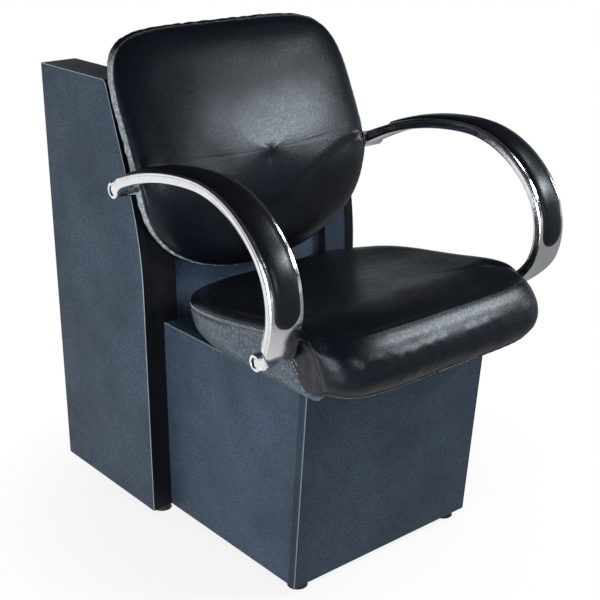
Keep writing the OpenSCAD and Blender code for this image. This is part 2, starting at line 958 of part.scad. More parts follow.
module back_ribs() {
    rear = front_line(centre_in, rib_z0, rib_z1);
    front = [for (i = [back_steps : -1 : 0])
        let (z = mixed(back_bottom, back_top, i / back_steps))
            if (z > rib_z0 && z < rib_z1) [back_y(z) + back_panel_t, z]];
    top = [[back_y(rib_z1) + back_panel_t, rib_z1]];
    low = [[back_y(rib_z0) + back_panel_t, rib_z0]];
    color(wood)
        difference() {
            both_sides()
                upright(rib_x - rib_t / 2, rib_x + rib_t / 2, concat(rear, top, front, low));
            back_bolt_places()
                back_bolt_shank(bolt_room);
        }
}

// Each back bolt runs level, from a counterbore in the centre panel to the board
module back_bolt_places() {
    both_sides()
        for (share = back_bolt_shares)
            let (z = mixed(rib_z0, rib_z1, share))
                translate([rib_x, 0, z])
                    let ($bolt_z = z)
                        children();
}

function back_bolt_seat(z) = front_y(z, centre_in) + centre_t / 2;

module back_bolt_shank(room) {
    rod_y(0, back_y($bolt_z) - back_bolt_bite, back_bolt_seat($bolt_z), 0,
          back_bolt_d + 2 * room);
}

module back_bolt_bore() {
    rod_y(0, 0, back_bolt_seat($bolt_z) + centre_t, 0, back_bolt_d + 2 * bolt_room);
    rod_y(0, back_bolt_seat($bolt_z), back_bolt_seat($bolt_z) + 3 * centre_t, 0,
          back_bolt_head_d + 2 * bolt_room);
}

module back_bolts() {
    color(steel)
        back_bolt_places() {
            back_bolt_shank(0);
            rod_y(0, back_bolt_seat($bolt_z), back_bolt_seat($bolt_z) + back_bolt_head_h, 0,
                  back_bolt_head_d);
        }
}

// Arms: a bar whose inner line is a chain of arcs in the Y-Z plane.
// Heading 0 runs forward at the highest point, and 90 runs straight down.

function inward(heading) = [sin(heading), -cos(heading)];

function after_arc(start, r, h0, h1) = start + r * (inward(h0) - inward(h1));

arm_second = after_arc(arm_start, arm_first_r, 0, arm_first_angle);
arm_third = after_arc(arm_second, arm_second_r, arm_first_angle, arm_second_angle);

function arm_line(h) =
    h < 0 ? after_arc(arm_start, arm_rear_r, 0, h) :
    h < arm_first_angle ? after_arc(arm_start, arm_first_r, 0, h) :
    h < arm_second_angle ? after_arc(arm_second, arm_second_r, arm_first_angle, h) :
    after_arc(arm_third, arm_third_r, arm_second_angle, h);

function arm_at(h, out) = arm_line(h) - out * inward(h);

function arm_band(h0, h1, steps, low, high) =
    let (hs = [for (i = [0 : steps]) mixed(h0, h1, i / steps)])
    concat([for (h = hs) arm_at(h, high)], [for (h = reversed(hs)) arm_at(h, low)]);

function arm_steps(h0, h1) = ceil((h1 - h0) / arm_step_angle);

rear_boss = arm_at(-arm_rear_angle, bar_t / 2);
front_boss = arm_at(arm_third_angle, bar_t / 2);
back_edge_x = back_half * (back_board_share - 0.003) - insert_room;

// The bar's width seen from above, drawn in at the rear boss
module arm_rear_half() {
    intersection() {
        upright(rear_boss_x - over, arm_x + arm_w,
                arm_band(-arm_rear_angle, arm_second_angle,
                         arm_steps(-arm_rear_angle, arm_second_angle), 0, bar_t));
        translate([0, 0, deck_z])
            linear_extrude(tower_h)
                polygon([
                    [arm_x, -seat_reach], [arm_x, -neck_y],
                    [rear_boss_x, rear_boss[0]], [rear_boss_x, boss_d],
                    [rear_boss_x + rear_boss_l, boss_d], [rear_boss_x + rear_boss_l, rear_boss[0]],
                    [arm_x + arm_w, -neck_y], [arm_x + arm_w, -seat_reach]]);
    }
}

// The bar's width seen from the front, drawn in at the front boss
module arm_front_half() {
    z1 = arm_third[1];
    z_high = mixed(z1, front_boss[1], web_high_share);
    z_low = mixed(z1, front_boss[1], web_low_share);
    intersection() {
        upright(front_boss_x - over, arm_x + arm_w,
                arm_band(arm_second_angle, arm_third_angle,
                         arm_steps(arm_second_angle, arm_third_angle), 0, bar_t));
        facing(-seat_reach, 0, [
            [arm_x, z1 + over], [arm_x, z_high],
            [front_boss_x, z_low], [front_boss_x, deck_z],
            [front_boss_x + front_boss_l, deck_z], [front_boss_x + front_boss_l, z_low],
            [arm_x + arm_w, z_high], [arm_x + arm_w, z1 + over]]);
    }
}

pad_x0 = arm_x + rim_w;
pad_x1 = pad_x0 + pad_w;

module arm_bore(x0, length, centre) {
    rod_x(x0 - over, x0 + length + over, centre[0], centre[1], arm_bolt_d + 2 * bolt_room);
    rod_x(x0 + length - counterbore_l, x0 + length + over, centre[0], centre[1], counterbore_d);
}

module arm(side) {
    color(chrome_colour)
        on_side(side)
            difference() {
                union() {
                    arm_rear_half();
                    arm_front_half();
                    rod_x(rear_boss_x, rear_boss_x + rear_boss_l,
                          rear_boss[0], rear_boss[1], boss_d);
                    rod_x(spigot_x, front_boss_x + front_boss_l,
                          front_boss[0], front_boss[1], boss_d);
                }
                upright(pad_x0, pad_x1,
                        arm_band(pad_from_angle, pad_to_angle, pad_steps, bar_t - pad_seat, bar_t + over));
                arm_bore(rear_boss_x, rear_boss_l, rear_boss);
                arm_bore(spigot_x, front_boss_x + front_boss_l - spigot_x, front_boss);
            }
}

// Section of the pad: its places across, and how far each stands out
pad_across_shares = [0, 0, 0.1, 0.3, 0.5, 0.7, 0.9, 1, 1];
pad_out_shares = [0, 0, 0.55, 0.9, 1, 0.9, 0.55, 0, 0];

function pad_out(k) =
    k == 0 || k == len(pad_out_shares) - 1 ? bar_t - pad_seat :
    bar_t + pad_edge + (pad_crown - pad_edge) * pad_out_shares[k];

function pad_section(h) = [
    for (k = [0 : len(pad_across_shares) - 1])
        let (q = arm_at(h, pad_out(k)))
            [mixed(pad_x0, pad_x1, pad_across_shares[k]), q[0], q[1]]
];

module arm_pad(side) {
    sections = [for (i = [0 : pad_steps]) pad_section(mixed(pad_from_angle, pad_to_angle, i / pad_steps))];
    color(vinyl)
        on_side(side)
            ring_solid(sections, middle(sections[0]), middle(sections[pad_steps]));
}

module arm_ends() {
    both_sides() {
        let ($x0 = rear_boss_x, $l = rear_boss_l, $c = rear_boss, $in = back_edge_x)
            children();
        let ($x0 = front_boss_x, $l = front_boss_l, $c = front_boss, $in = rail_out)
            children();
    }
}

module insert_bore(x, centre) {
    rod_x(x - arm_bolt_grip, x + over + insert_room, centre[0], centre[1], insert_d);
}

module arm_inserts() {
    color(steel)
        arm_ends()
            difference() {
                rod_x($in - insert_l, $in, $c[0], $c[1], insert_d);
                rod_x($in - insert_l - over, $in + over, $c[0], $c[1], arm_bolt_d + 2 * fit);
            }
}

module arm_bolts() {
    color(steel)
        arm_ends() {
            seat_x = $x0 + $l - counterbore_l + washer_t;
            rod_x($in - insert_l, seat_x, $c[0], $c[1], arm_bolt_d);
            rod_x(seat_x, seat_x + arm_head_h, $c[0], $c[1], arm_head_d);
        }
}

module arm_washers() {
    color(steel)
        arm_ends() {
            x = $x0 + $l - counterbore_l;
            difference() {
                rod_x(x, x + washer_t, $c[0], $c[1], counterbore_d - 2 * bolt_room);
                rod_x(x - over, x + washer_t + over, $c[0], $c[1], arm_bolt_d + 2 * fit);
            }
        }
}

// Feet: a pad on the floor and a stem that screws into a tee nut in the board above

module foot_bore(x, y) {
    rod_z(x, y, foot_h - over, bottom_z + over, foot_nut_d);
}

module foot_pad(x, y) {
    color(black)
        difference() {
            translate([x, y, 0])
                cylinder(h = foot_pad_h, d1 = foot_d, d2 = foot_top_d);
            rod_z(x, y, foot_pad_h - socket_h, foot_pad_h + over, stem_d + 2 * fit);
        }
}

module foot_stem(x, y) {
    color(steel)
        rod_z(x, y, foot_pad_h - socket_h, foot_pad_h + stem_l, stem_d);
}

module foot_places() {
    both_sides() {
        translate([front_foot_x, front_foot_y, 0])
            children();
        translate([wing_foot_x, middle_foot_y, 0])
            children();
        translate([wing_foot_x, rear_foot_y, 0])
            children();
    }
}

module foot_tee_nuts() {
    color(steel)
        foot_places()
            difference() {
                union() {
                    rod_z(0, 0, bottom_z - foot_nut_l, bottom_z, foot_nut_d);
                    rod_z(0, 0, bottom_z, bottom_z + foot_flange_t, foot_flange_d);
                }
                rod_z(0, 0, foot_h, bottom_z + foot_flange_t + over, stem_d + 2 * fit);
            }
}

placed() {
    tower_side(LEFT);  // tower_side_left
    tower_side(RIGHT);  // tower_side_right
    inner_side(LEFT);  // inner_side_left
    inner_side(RIGHT);  // inner_side_right
    wing_front(LEFT);  // wing_front_left
    wing_front(RIGHT);  // wing_front_right
    wing_top(LEFT);  // wing_top_left
    wing_top(RIGHT);  // wing_top_right
    wing_back(LEFT);  // wing_back_left
    wing_back(RIGHT);  // wing_back_right
    wing_bottom(LEFT);  // wing_bottom_left
    wing_bottom(RIGHT);  // wing_bottom_right
    edge_bands();
    centre_panel();
    dryer_board();
    rear_stretcher();
    box_side(LEFT);  // box_side_left
    box_side(RIGHT);  // box_side_right
    box_front();
    box_deck();
    box_floor();
    deck_cleats();
    box_cleats();
    carcass_screws();
    seat_board();
    seat_rail(LEFT);  // seat_rail_left
    seat_rail(RIGHT);  // seat_rail_right
    seat_foam();
    seat_cover();
    seat_bolts();
    seat_tee_nuts();
    back_board();
    back_foam();
    back_cover();
    back_panel();
    back_ribs();
    back_bolts();
    arm(LEFT);  // arm_left
    arm(RIGHT);  // arm_right
    arm_pad(LEFT);  // arm_pad_left
    arm_pad(RIGHT);  // arm_pad_right
    arm_bolts();
    arm_washers();
    arm_inserts();
    foot_pad(-front_foot_x, front_foot_y);  // foot_pad_front_left
    foot_pad(front_foot_x, front_foot_y);  // foot_pad_front_right
    foot_pad(-wing_foot_x, middle_foot_y);  // foot_pad_middle_left
    foot_pad(wing_foot_x, middle_foot_y);  // foot_pad_middle_right
    foot_pad(-wing_foot_x, rear_foot_y);  // foot_pad_rear_left
    foot_pad(wing_foot_x, rear_foot_y);  // foot_pad_rear_right
    foot_stem(-front_foot_x, front_foot_y);  // foot_stem_front_left
    foot_stem(front_foot_x, front_foot_y);  // foot_stem_front_right
    foot_stem(-wing_foot_x, middle_foot_y);  // foot_stem_middle_left
    foot_stem(wing_foot_x, middle_foot_y);  // foot_stem_middle_right
    foot_stem(-wing_foot_x, rear_foot_y);  // foot_stem_rear_left
    foot_stem(wing_foot_x, rear_foot_y);  // foot_stem_rear_right
    foot_tee_nuts();
}
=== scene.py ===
"""Dryer chair: camera, lights, materials, upholstery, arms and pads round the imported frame."""
import json
import math

import bpy
import numpy as np
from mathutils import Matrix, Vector
from mathutils.kdtree import KDTree


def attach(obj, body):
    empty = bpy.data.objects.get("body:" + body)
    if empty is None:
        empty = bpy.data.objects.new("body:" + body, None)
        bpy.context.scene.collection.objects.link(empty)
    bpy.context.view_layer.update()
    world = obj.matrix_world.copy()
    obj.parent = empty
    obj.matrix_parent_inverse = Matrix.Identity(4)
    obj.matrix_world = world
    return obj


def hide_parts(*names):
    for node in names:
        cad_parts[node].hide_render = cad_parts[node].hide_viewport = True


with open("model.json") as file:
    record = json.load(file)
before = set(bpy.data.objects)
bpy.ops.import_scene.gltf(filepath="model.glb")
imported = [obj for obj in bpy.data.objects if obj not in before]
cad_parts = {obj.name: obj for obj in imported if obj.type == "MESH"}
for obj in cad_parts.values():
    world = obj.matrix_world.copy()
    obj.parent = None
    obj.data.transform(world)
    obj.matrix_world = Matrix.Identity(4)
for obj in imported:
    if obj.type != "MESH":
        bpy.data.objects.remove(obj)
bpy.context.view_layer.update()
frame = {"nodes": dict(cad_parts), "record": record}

nodes = frame["nodes"]
MM = 0.001
Y_SHIFT = 105.5

# Camera at the photograph's viewing angle

scene = bpy.context.scene
scene.view_settings.view_transform = "Standard"
CAMERA_PLACE = Vector((-1.3194, -1.6029, 1.2080))
CAMERA_BACK = Vector((-0.5993, -0.7161, 0.3577))
camera_data = bpy.data.cameras.new("camera")
camera_data.lens = 72.55
camera_data.sensor_width = 36.0
camera = bpy.data.objects.new("camera", camera_data)
camera.location = CAMERA_PLACE
camera.rotation_euler = (-CAMERA_BACK).to_track_quat("-Z", "Y").to_euler()
scene.collection.objects.link(camera)
scene.camera = camera


# Materials

class Nodes:
    """Short calls for building a material's node tree."""

    def __init__(self, name):
        self.material = bpy.data.materials.new(name)
        self.material.use_nodes = True
        self.tree = self.material.node_tree
        self.shader = self.tree.nodes["Principled BSDF"]
        self.place = self.tree.nodes.new("ShaderNodeTexCoord").outputs["Object"]

    def link(self, a, b):
        self.tree.links.new(a, b)

    def put(self, value, socket):
        if hasattr(value, "links"):
            self.link(value, socket)
        elif isinstance(value, tuple) and len(value) == 3:
            socket.default_value = (*value, 1.0)
        else:
            socket.default_value = value

    def add(self, kind, **values):
        node = self.tree.nodes.new(kind)
        for key, value in values.items():
            if hasattr(node, key):
                setattr(node, key, value)
            else:
                node.inputs[key.replace("_", " ")].default_value = value
        return node

    def calc(self, operation, a, b=0.0, c=0.0):
        node = self.add("ShaderNodeMath", operation=operation)
        for value, socket in zip((a, b, c), node.inputs):
            self.put(value, socket)
        return node.outputs[0]

    def axes(self):
        node = self.add("ShaderNodeSeparateXYZ")
        self.link(self.place, node.inputs[0])
        return node.outputs

    def noise(self, scale, detail=3.0, rough=0.55, stretch=(1, 1, 1)):
        place = self.place
        if stretch != (1, 1, 1):
            mapping = self.add("ShaderNodeMapping")
            mapping.inputs["Scale"].default_value = stretch
            self.link(self.place, mapping.inputs["Vector"])
            place = mapping.outputs["Vector"]
        node = self.add("ShaderNodeTexNoise", Scale=scale, Detail=detail, Roughness=rough)
        self.link(place, node.inputs["Vector"])
        return node.outputs["Fac"]

    def cells(self, scale):
        node = self.add("ShaderNodeTexVoronoi", feature="DISTANCE_TO_EDGE")
        node.inputs["Scale"].default_value = scale
        self.link(self.place, node.inputs["Vector"])
        return node.outputs["Distance"]

    def ramp(self, value, stops):
        node = self.add("ShaderNodeValToRGB")
        ramp = node.color_ramp
        while len(ramp.elements) < len(stops):
            ramp.elements.new(0.5)
        for element, (spot, colour) in zip(ramp.elements, stops):
            element.position = spot
            element.color = (*colour, 1.0)
        self.link(value, node.inputs["Fac"])
        return node.outputs["Color"]

    def fit(self, value, low, high, start=0.0, stop=1.0):
        node = self.add("ShaderNodeMapRange", From_Min=start, From_Max=stop,
                        To_Min=low, To_Max=high)
        self.link(value, node.inputs["Value"])
        return node.outputs["Result"]

    def mix(self, a, b, fac):
        node = self.add("ShaderNodeMix", data_type="RGBA")
        for value, socket in ((fac, node.inputs[0]), (a, node.inputs[6]), (b, node.inputs[7])):
            self.put(value, socket)
        return node.outputs[2]

    def bump(self, height, strength, distance):
        node = self.add("ShaderNodeBump", Strength=strength, Distance=distance)
        self.link(height, node.inputs["Height"])
        self.link(node.outputs["Normal"], self.shader.inputs["Normal"])

    def colour(self, value):
        self.put(value, self.shader.inputs["Base Color"])

    def rough(self, value):
        self.put(value, self.shader.inputs["Roughness"])

    def set(self, **values):
        for key, value in values.items():
            self.put(value, self.shader.inputs[key.replace("_", " ")])


def srgb(r, g, b):
    """Linear colour from the 0 to 255 values that a picture shows."""
    out = []
    for v in (r, g, b):
        v /= 255
        out.append(v / 12.92 if v <= 0.04045 else ((v + 0.055) / 1.055) ** 2.4)
    return tuple(out)


def shade(colour, share):
    return tuple(c * share for c in colour)


def laminate(name, dark, light, rough, lines=None):
    """Dark mottled laminate; lines gives the colours and masks of its edge lines, which are painted
    highlights, painted light or dark joints.
    """
    m = Nodes(name)
    coarse = m.noise(430, 3.0, 0.65)
    speck = m.calc("MULTIPLY_ADD", coarse, 0.6, m.calc("MULTIPLY", m.noise(1100, 2.0), 0.4))
    middle = tuple((a + b) / 2 for a, b in zip(dark, light))
    tone = m.ramp(speck, [(0.42, dark), (0.50, middle), (0.58, light)])
    tone = m.mix(tone, shade(dark, 0.8), m.fit(m.noise(7, 4.0), 0.0, 0.5, 0.42, 0.72))
    scuff = m.calc("MULTIPLY", m.fit(m.noise(34, 6.0, 0.7), 0.0, 1.0, 0.60, 0.72), 0.18)
    tone = m.mix(tone, shade(light, 1.35), scuff)
    if lines:
        for colour, mask in lines(m):
            tone = m.mix(tone, colour, mask)
    m.colour(tone)
    m.rough(m.fit(m.noise(18, 5.0, 0.6), rough - 0.08, rough + 0.10, 0.3, 0.7))
    m.bump(m.calc("MULTIPLY_ADD", m.noise(1300, 2.0), 0.5, m.noise(420, 3.0)), 0.25, 0.0003)
    m.set(Specular_IOR_Level=0.12)
    return m.material


def vinyl(name, tone, rough, grain=1.0, glint_share=0.0, painted_light_ends=None):
    """Fine grained vinyl; a fleck share adds pale flecks, which are painted glints, and a height
    ends them and the tone's painted light, with the plain dark vinyl above it.
    """
    m = Nodes(name)
    broad = m.noise(16, 5.0, 0.6)
    colour = m.mix(tone, shade(tone, 0.75), m.fit(broad, 0.0, 0.8, 0.35, 0.7))
    if glint_share:
        glints = m.fit(m.noise(190, 5.0, 0.75), 0.0, 1.0, 0.46, 0.62)
        colour = m.mix(colour, srgb(196, 205, 210), m.calc("MULTIPLY", glints, glint_share))
    if painted_light_ends:
        dark = m.fit(m.axes()[2], 0.0, 1.0, painted_light_ends, painted_light_ends + 0.03)
        colour = m.mix(colour, srgb(14, 18, 25), dark)
    m.colour(colour)
    m.rough(m.fit(m.noise(260, 4.0, 0.6), rough - 0.06, rough + 0.08, 0.3, 0.7))
    pebble = m.fit(m.cells(520), 0.0, 1.0, 0.0, 0.35)
    height = m.calc("MULTIPLY_ADD", m.noise(1500, 3.0), 0.3, pebble)
    m.bump(height, 0.13 * grain, 0.0004)
    m.set(Specular_IOR_Level=0.26, Specular_Tint=(0.78, 0.90, 1.0))
    return m.material


def metal(name, colour, rough, wave=0.0):
    m = Nodes(name)
    m.colour(m.ramp(m.noise(30, 5.0, 0.6), [(0.35, shade(colour, 0.9)), (0.65, colour)]))
    m.rough(m.fit(m.noise(90, 6.0, 0.7), rough * 0.6, rough * 1.6, 0.3, 0.7))
    fine = m.calc("MULTIPLY", m.noise(420, 4.0), 0.2)
    m.bump(m.calc("MULTIPLY_ADD", m.noise(75, 3.0), wave, fine), 0.25, 0.0012)
    m.set(Metallic=1.0)
    return m.material


def wood(name, light, dark):
    m = Nodes(name)
    grain = m.noise(26, 6.0, 0.6, (1.0, 9.0, 1.0))
    pores = m.noise(340, 3.0, 0.6, (1.0, 6.0, 1.0))
    figure = m.ramp(grain, [(0.32, dark), (0.6, light)])
    m.colour(m.mix(figure, dark, m.fit(pores, 0.0, 0.5, 0.5, 0.8)))
    m.rough(m.fit(grain, 0.72, 0.55))
    m.bump(pores, 0.2, 0.0005)
    return m.material


def foam(name):
    m = Nodes(name)
    m.colour(m.ramp(m.noise(420, 4.0), [(0.3, srgb(196, 188, 150)), (0.7, srgb(226, 220, 190))]))
    m.rough(0.95)
    m.bump(m.noise(700, 3.0), 0.5, 0.001)
    return m.material


def plastic(name, colour, rough, metallic=0.0):
    m = Nodes(name)
    m.colour(m.ramp(m.noise(50, 4.0), [(0.3, shade(colour, 0.75)), (0.7, colour)]))
    m.rough(m.fit(m.noise(120, 3.0), rough - 0.05, rough + 0.1))
    m.bump(m.noise(2200, 2.0), 0.2, 0.0002)
    m.set(Metallic=metallic)
    return m.material


SIDE_DARK = srgb(36, 47, 61)
SIDE_LIGHT = srgb(76, 93, 112)
# Painted light: the tops are the side laminate, given a lighter grey for the light falling on them.
TOP_LIT_DARK = srgb(66, 74, 78)
TOP_LIT_LIGHT = srgb(98, 106, 108)
# Painted shade: the side laminate made darker for the front and inner faces that lie in shade.
INNER_SHADED_DARK = srgb(30, 38, 50)
INNER_SHADED_LIGHT = srgb(50, 61, 76)
BLACK = srgb(12, 14, 17)
# Colour of the painted highlights along arrises
PALE_HIGHLIGHT = srgb(176, 188, 196)

# Planes in metres that the painted edge highlights and the joint lines follow: x from the middle, z
# from the floor
WING_TOP = 0.8185
BAND_INNER, BAND_ARRIS = 0.2462, 0.2493
BOX_ARRIS, BOX_END, BOX_FACE_END = 0.2048, 0.20735, 0.2056
DECK_EDGE = 0.3876
FRONT_SLOPE, FRONT_AT_FLOOR = 0.08579, 0.25921
FACE_SKIN, BAND_THICK, PANEL_BACK = 0.0003, 0.0030, 0.0174


def band_lit_top_and_highlight(m):
    """Painted light and highlight: the band's top takes the tops' lit grey, mottled, and its outer
    arris is a pale painted highlight line.
    """
    x, _, z = m.axes()
    off = m.calc("ABSOLUTE", x)
    flat = m.calc("GREATER_THAN", z, WING_TOP)
    inside = m.calc("LESS_THAN", off, BAND_INNER)
    top = m.mix(TOP_LIT_DARK, TOP_LIT_LIGHT, m.fit(m.noise(240, 4.0, 0.7), 0.0, 1.0, 0.4, 0.6))
    return [(top, m.calc("MULTIPLY", flat, inside)),
            (PALE_HIGHLIGHT, m.calc("GREATER_THAN", off, BAND_ARRIS))]


# Painted highlight: a pale line along the box sides' top outer arris.
def side_top_highlight(m):
    x, _, z = m.axes()
    edge = m.calc("GREATER_THAN", m.calc("ABSOLUTE", x), BOX_ARRIS)
    return [(PALE_HIGHLIGHT, m.calc("MULTIPLY", edge, m.calc("GREATER_THAN", z, DECK_EDGE)))]


def front_corner_highlight_and_joints(m):
    """Lines along the front panel's ends, by how far a point lies behind the sloping face: a black
    strip and a dark joint line, and a pale line that is a painted highlight.
    """
    x, y, z = m.axes()
    off = m.calc("ABSOLUTE", x)
    behind = m.calc("ADD", m.calc("MULTIPLY_ADD", z, FRONT_SLOPE, y), FRONT_AT_FLOOR)
    end = m.calc("GREATER_THAN", off, BOX_END)
    near = m.calc("LESS_THAN", behind, BAND_THICK)
    joint = m.calc("GREATER_THAN", behind, PANEL_BACK)
    beside = m.calc("GREATER_THAN", off, BOX_FACE_END)
    face = m.calc("MULTIPLY", beside, m.calc("LESS_THAN", behind, FACE_SKIN))
    # The pale line is a painted highlight; black and the dark line are joints.
    return [(BLACK, face), (srgb(104, 118, 132), m.calc("MULTIPLY", end, near)),
            (srgb(24, 28, 34), m.calc("MULTIPLY", end, joint))]


mat_side = laminate("laminate", SIDE_DARK, SIDE_LIGHT, 0.44)
# The box sides carry a painted highlight along their top arris.
mat_box_side = laminate("laminate_box_side", SIDE_DARK, SIDE_LIGHT, 0.44, side_top_highlight)
# Painted shade: the box front is the side laminate made darker for the less lit front.
mat_box_front_shaded = laminate("laminate_box_front_shaded", shade(SIDE_DARK, 0.62), shade(SIDE_LIGHT, 0.56),
                         0.44, front_corner_highlight_and_joints)
# Painted light on the wing tops: the lit grey of the side laminate.
mat_top_lit = laminate("laminate_top_lit", TOP_LIT_DARK, TOP_LIT_LIGHT, 0.5)
# Painted shade: a darker copy of the side laminate.
mat_inner_shaded = laminate("laminate_dark", INNER_SHADED_DARK, INNER_SHADED_LIGHT, 0.44)
# Painted light: the centre panel is the inner laminate made 2.6 times lighter where light falls on
# it.
mat_centre_lit = laminate("laminate_centre_lit", shade(INNER_SHADED_DARK, 2.6), shade(INNER_SHADED_LIGHT, 2.6),
                      0.44)
# Painted shade: the left wing front is near-black for the shade it stands in; the right one keeps
# the inner tone.
mat_wing_shaded = laminate("laminate_wing_shaded", srgb(13, 15, 18), srgb(22, 25, 30), 0.5)
# Painted shade: the edge band's near-black stands for the shade on the boards' edges; its top gets
# painted light and its arris a painted highlight.
mat_edge_shaded = laminate("edge_band", srgb(10, 12, 14), srgb(20, 23, 26), 0.4, band_lit_top_and_highlight)
mat_wood = wood("raw_board", srgb(206, 176, 132), srgb(160, 124, 84))
mat_vinyl = vinyl("upholstery", srgb(13, 17, 24), 0.30)
# Painted light: the back's boxing is the dark vinyl made pale and flecked with painted glints, dark
# again above 0.845 m.
mat_boxing_lit = vinyl("upholstery_side_lit", srgb(120, 131, 140), 0.40, 1.6, 1.0, 0.845)
# Painted light: the seat's side band is the dark vinyl made lighter where light falls on it, with a
# few painted glints.
mat_band_lit = vinyl("upholstery_band_lit", srgb(58, 68, 80), 0.36, 0.8, 0.2)
mat_wrap = vinyl("upholstery_wrap", srgb(22, 24, 28), 0.5, 0.6)
# Painted highlight: the welts are the cover's vinyl made lighter for the light line they catch.
mat_welt_lit = vinyl("upholstery_welt_lit", srgb(30, 35, 42), 0.36, 0.4)
mat_pad = vinyl("arm_pad", srgb(14, 17, 23), 0.30, 0.4)
# The thread's pale grey is partly its own colour and partly painted glint.
mat_thread_glint = plastic("thread", srgb(160, 170, 178), 0.6)
mat_foam = foam("foam")
mat_arm = metal("arm_metal", (0.86, 0.87, 0.89), 0.13, 1.0)
# Painted shade: the counterbores' faces are near-black for the shade inside the holes.
mat_bore_shaded = plastic("arm_bore", srgb(16, 16, 18), 0.6)
mat_steel = metal("hardware", (0.62, 0.63, 0.65), 0.30, 0.3)
mat_black_steel = plastic("hardware_black", srgb(20, 20, 22), 0.45, 0.6)
mat_foot = plastic("foot_plastic", srgb(20, 21, 23), 0.5)

BY_SLOT = {
    "laminate": mat_side, "laminate_dark": mat_inner_shaded, "edge_band": mat_edge_shaded, "raw_board": mat_wood,
    "upholstery": mat_vinyl, "foam": mat_foam, "arm_metal": mat_arm, "arm_pad": mat_pad,
    "hardware": mat_steel, "foot_plastic": mat_foot,
}
BY_NODE = {
    "wing_front_left": mat_wing_shaded, "wing_top_left": mat_top_lit, "wing_top_right": mat_top_lit,
    "box_side_left": mat_box_side, "box_side_right": mat_box_side, "box_front": mat_box_front_shaded,
    "centre_panel": mat_centre_lit, "back_board": mat_wrap,
    "wing_bottom_left": mat_inner_shaded, "wing_bottom_right": mat_inner_shaded,
    "arm_bolts": mat_black_steel, "arm_washers": mat_black_steel,
}


def dress_nodes():
    """Every CAD node gets the finish of its record slot, or its own variant of it."""
    for entry in frame["record"]["subparts"]:
        name = entry["node"]
        for slot in nodes[name].material_slots:
            slot.material = BY_NODE.get(name, BY_SLOT[entry["material_slot"]])


dress_nodes()


# Mesh helpers. Points are in millimetres with Y from the tower's front, as in the part's source.

def to_row(points):
    points = np.array(points, float)
    points[:, 1] += Y_SHIFT
    return points * MM


def new_object(name, points, faces):
    """An object in the scene from points in metres."""
    mesh = bpy.data.meshes.new(name)
    whole = [tuple(int(i) for i in face) for face in faces]
    mesh.from_pydata([tuple(p) for p in points], [], whole)
    obj = bpy.data.objects.new(name, mesh)
    scene.collection.objects.link(obj)
    return obj, mesh


def new_piece(name, points, faces, material, angle=None, more=(), face_kind=None):
    """A smooth piece. more holds further materials and face_kind each face's material index."""
    obj, mesh = new_object(name, to_row(points), faces)
    for one in (material, *more):
        mesh.materials.append(one)
    mesh.polygons.foreach_set("use_smooth", [True] * len(mesh.polygons))
    if face_kind is not None:
        mesh.polygons.foreach_set("material_index", np.asarray(face_kind, dtype=np.int32))
    if angle:
        mesh.set_sharp_from_angle(angle=math.radians(angle))
    mesh.update()
    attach(obj, "root")
    return obj


def ring_faces(rings, count):
    faces = []
    for k in range(rings - 1):
        for i in range(count):
            a = k * count + i
            b = k * count + (i + 1) % count
            faces.append((a, b, b + count, a + count))
    return faces


def fan(base, count, tip, flip=False):
    out = []
    for i in range(count):
        tri = (base + i, base + (i + 1) % count, tip)
        out.append(tri[::-1] if flip else tri)
    return out


def smooth01(v):
    v = np.clip(v, 0, 1)
    return v * v * (3 - 2 * v)


def signed_power(v, p):
    return np.sign(v) * np.abs(v) ** p


def table_at(table, k):
    """Values of a table at real indices, on a smooth line through its entries."""
    table = np.asarray(table, float)
    k = np.asarray(k, float)
    i = np.clip(np.floor(k).astype(int), 0, len(table) - 2)
    f = k - i
    p0, p1, p2 = table[np.maximum(i - 1, 0)], table[i], table[i + 1]
    p3 = table[np.minimum(i + 2, len(table) - 1)]
    square = 2 * p0 - 5 * p1 + 4 * p2 - p3
    cube = 3 * (p1 - p2) + p3 - p0
    return p1 + 0.5 * f * (p2 - p0 + f * (square + f * cube))


def run_length(path):
    """Distance along a path at each of its points."""
    return np.concatenate([[0], np.cumsum(np.linalg.norm(np.diff(path, axis=0), axis=1))])


def even_angles(ring, count):
    """Angles that place points evenly along a ring given as a function of its angles."""
    fine = np.linspace(0, 2 * math.pi, 6001)
    q = ring(fine)
    length = run_length(q)
    return np.interp(np.linspace(0, length[-1], count + 1)[:-1], length, fine)


def even_stops(ring, first, last, count, angle):
    """Real table indices whose rings stand evenly apart at one angle."""
    fine = np.linspace(first, last, 1200)
    q = np.array([ring(k, np.array([angle]))[0] for k in fine])
    length = run_length(q)
    return np.interp(np.linspace(0, length[-1], count), length, fine)


def waves(seed, points, wavelength):
    """Smooth seeded noise in -1.6..1.6 over points, from sums of turned waves."""
    rng = np.random.default_rng(seed)
    total = np.zeros(len(points))
    size = 0.0
    for octave in range(2):
        freq = 2 * math.pi / (wavelength / 1.9 ** octave)
        weight = 0.55 ** octave
        part = np.zeros(len(points))
        for _ in range(9):
            d = rng.normal(size=3)
            d *= freq * rng.uniform(0.6, 1.3) / np.linalg.norm(d)
            part += np.sin(points @ d + rng.uniform(0, 6.28))
        total += weight * part / 3.0
        size += weight
    return np.clip(total / size, -1.6, 1.6)


def face_normals_out(grid):
    """Outward unit normals of a closed grid of rings, rows along the first axis."""
    along = np.roll(grid, -1, axis=1) - np.roll(grid, 1, axis=1)
    up = np.gradient(grid, axis=0)
    n = np.cross(along, up)
    return n / np.maximum(np.linalg.norm(n, axis=2, keepdims=True), 1e-9)


CLOTH_PINS = {0: 1.0, 1: 0.6}
CLOTH_PRESSURE, CLOTH_FRAMES = 4.0, 20
CLOTH_CAP = 3.0
CLOTH_STEP = 4


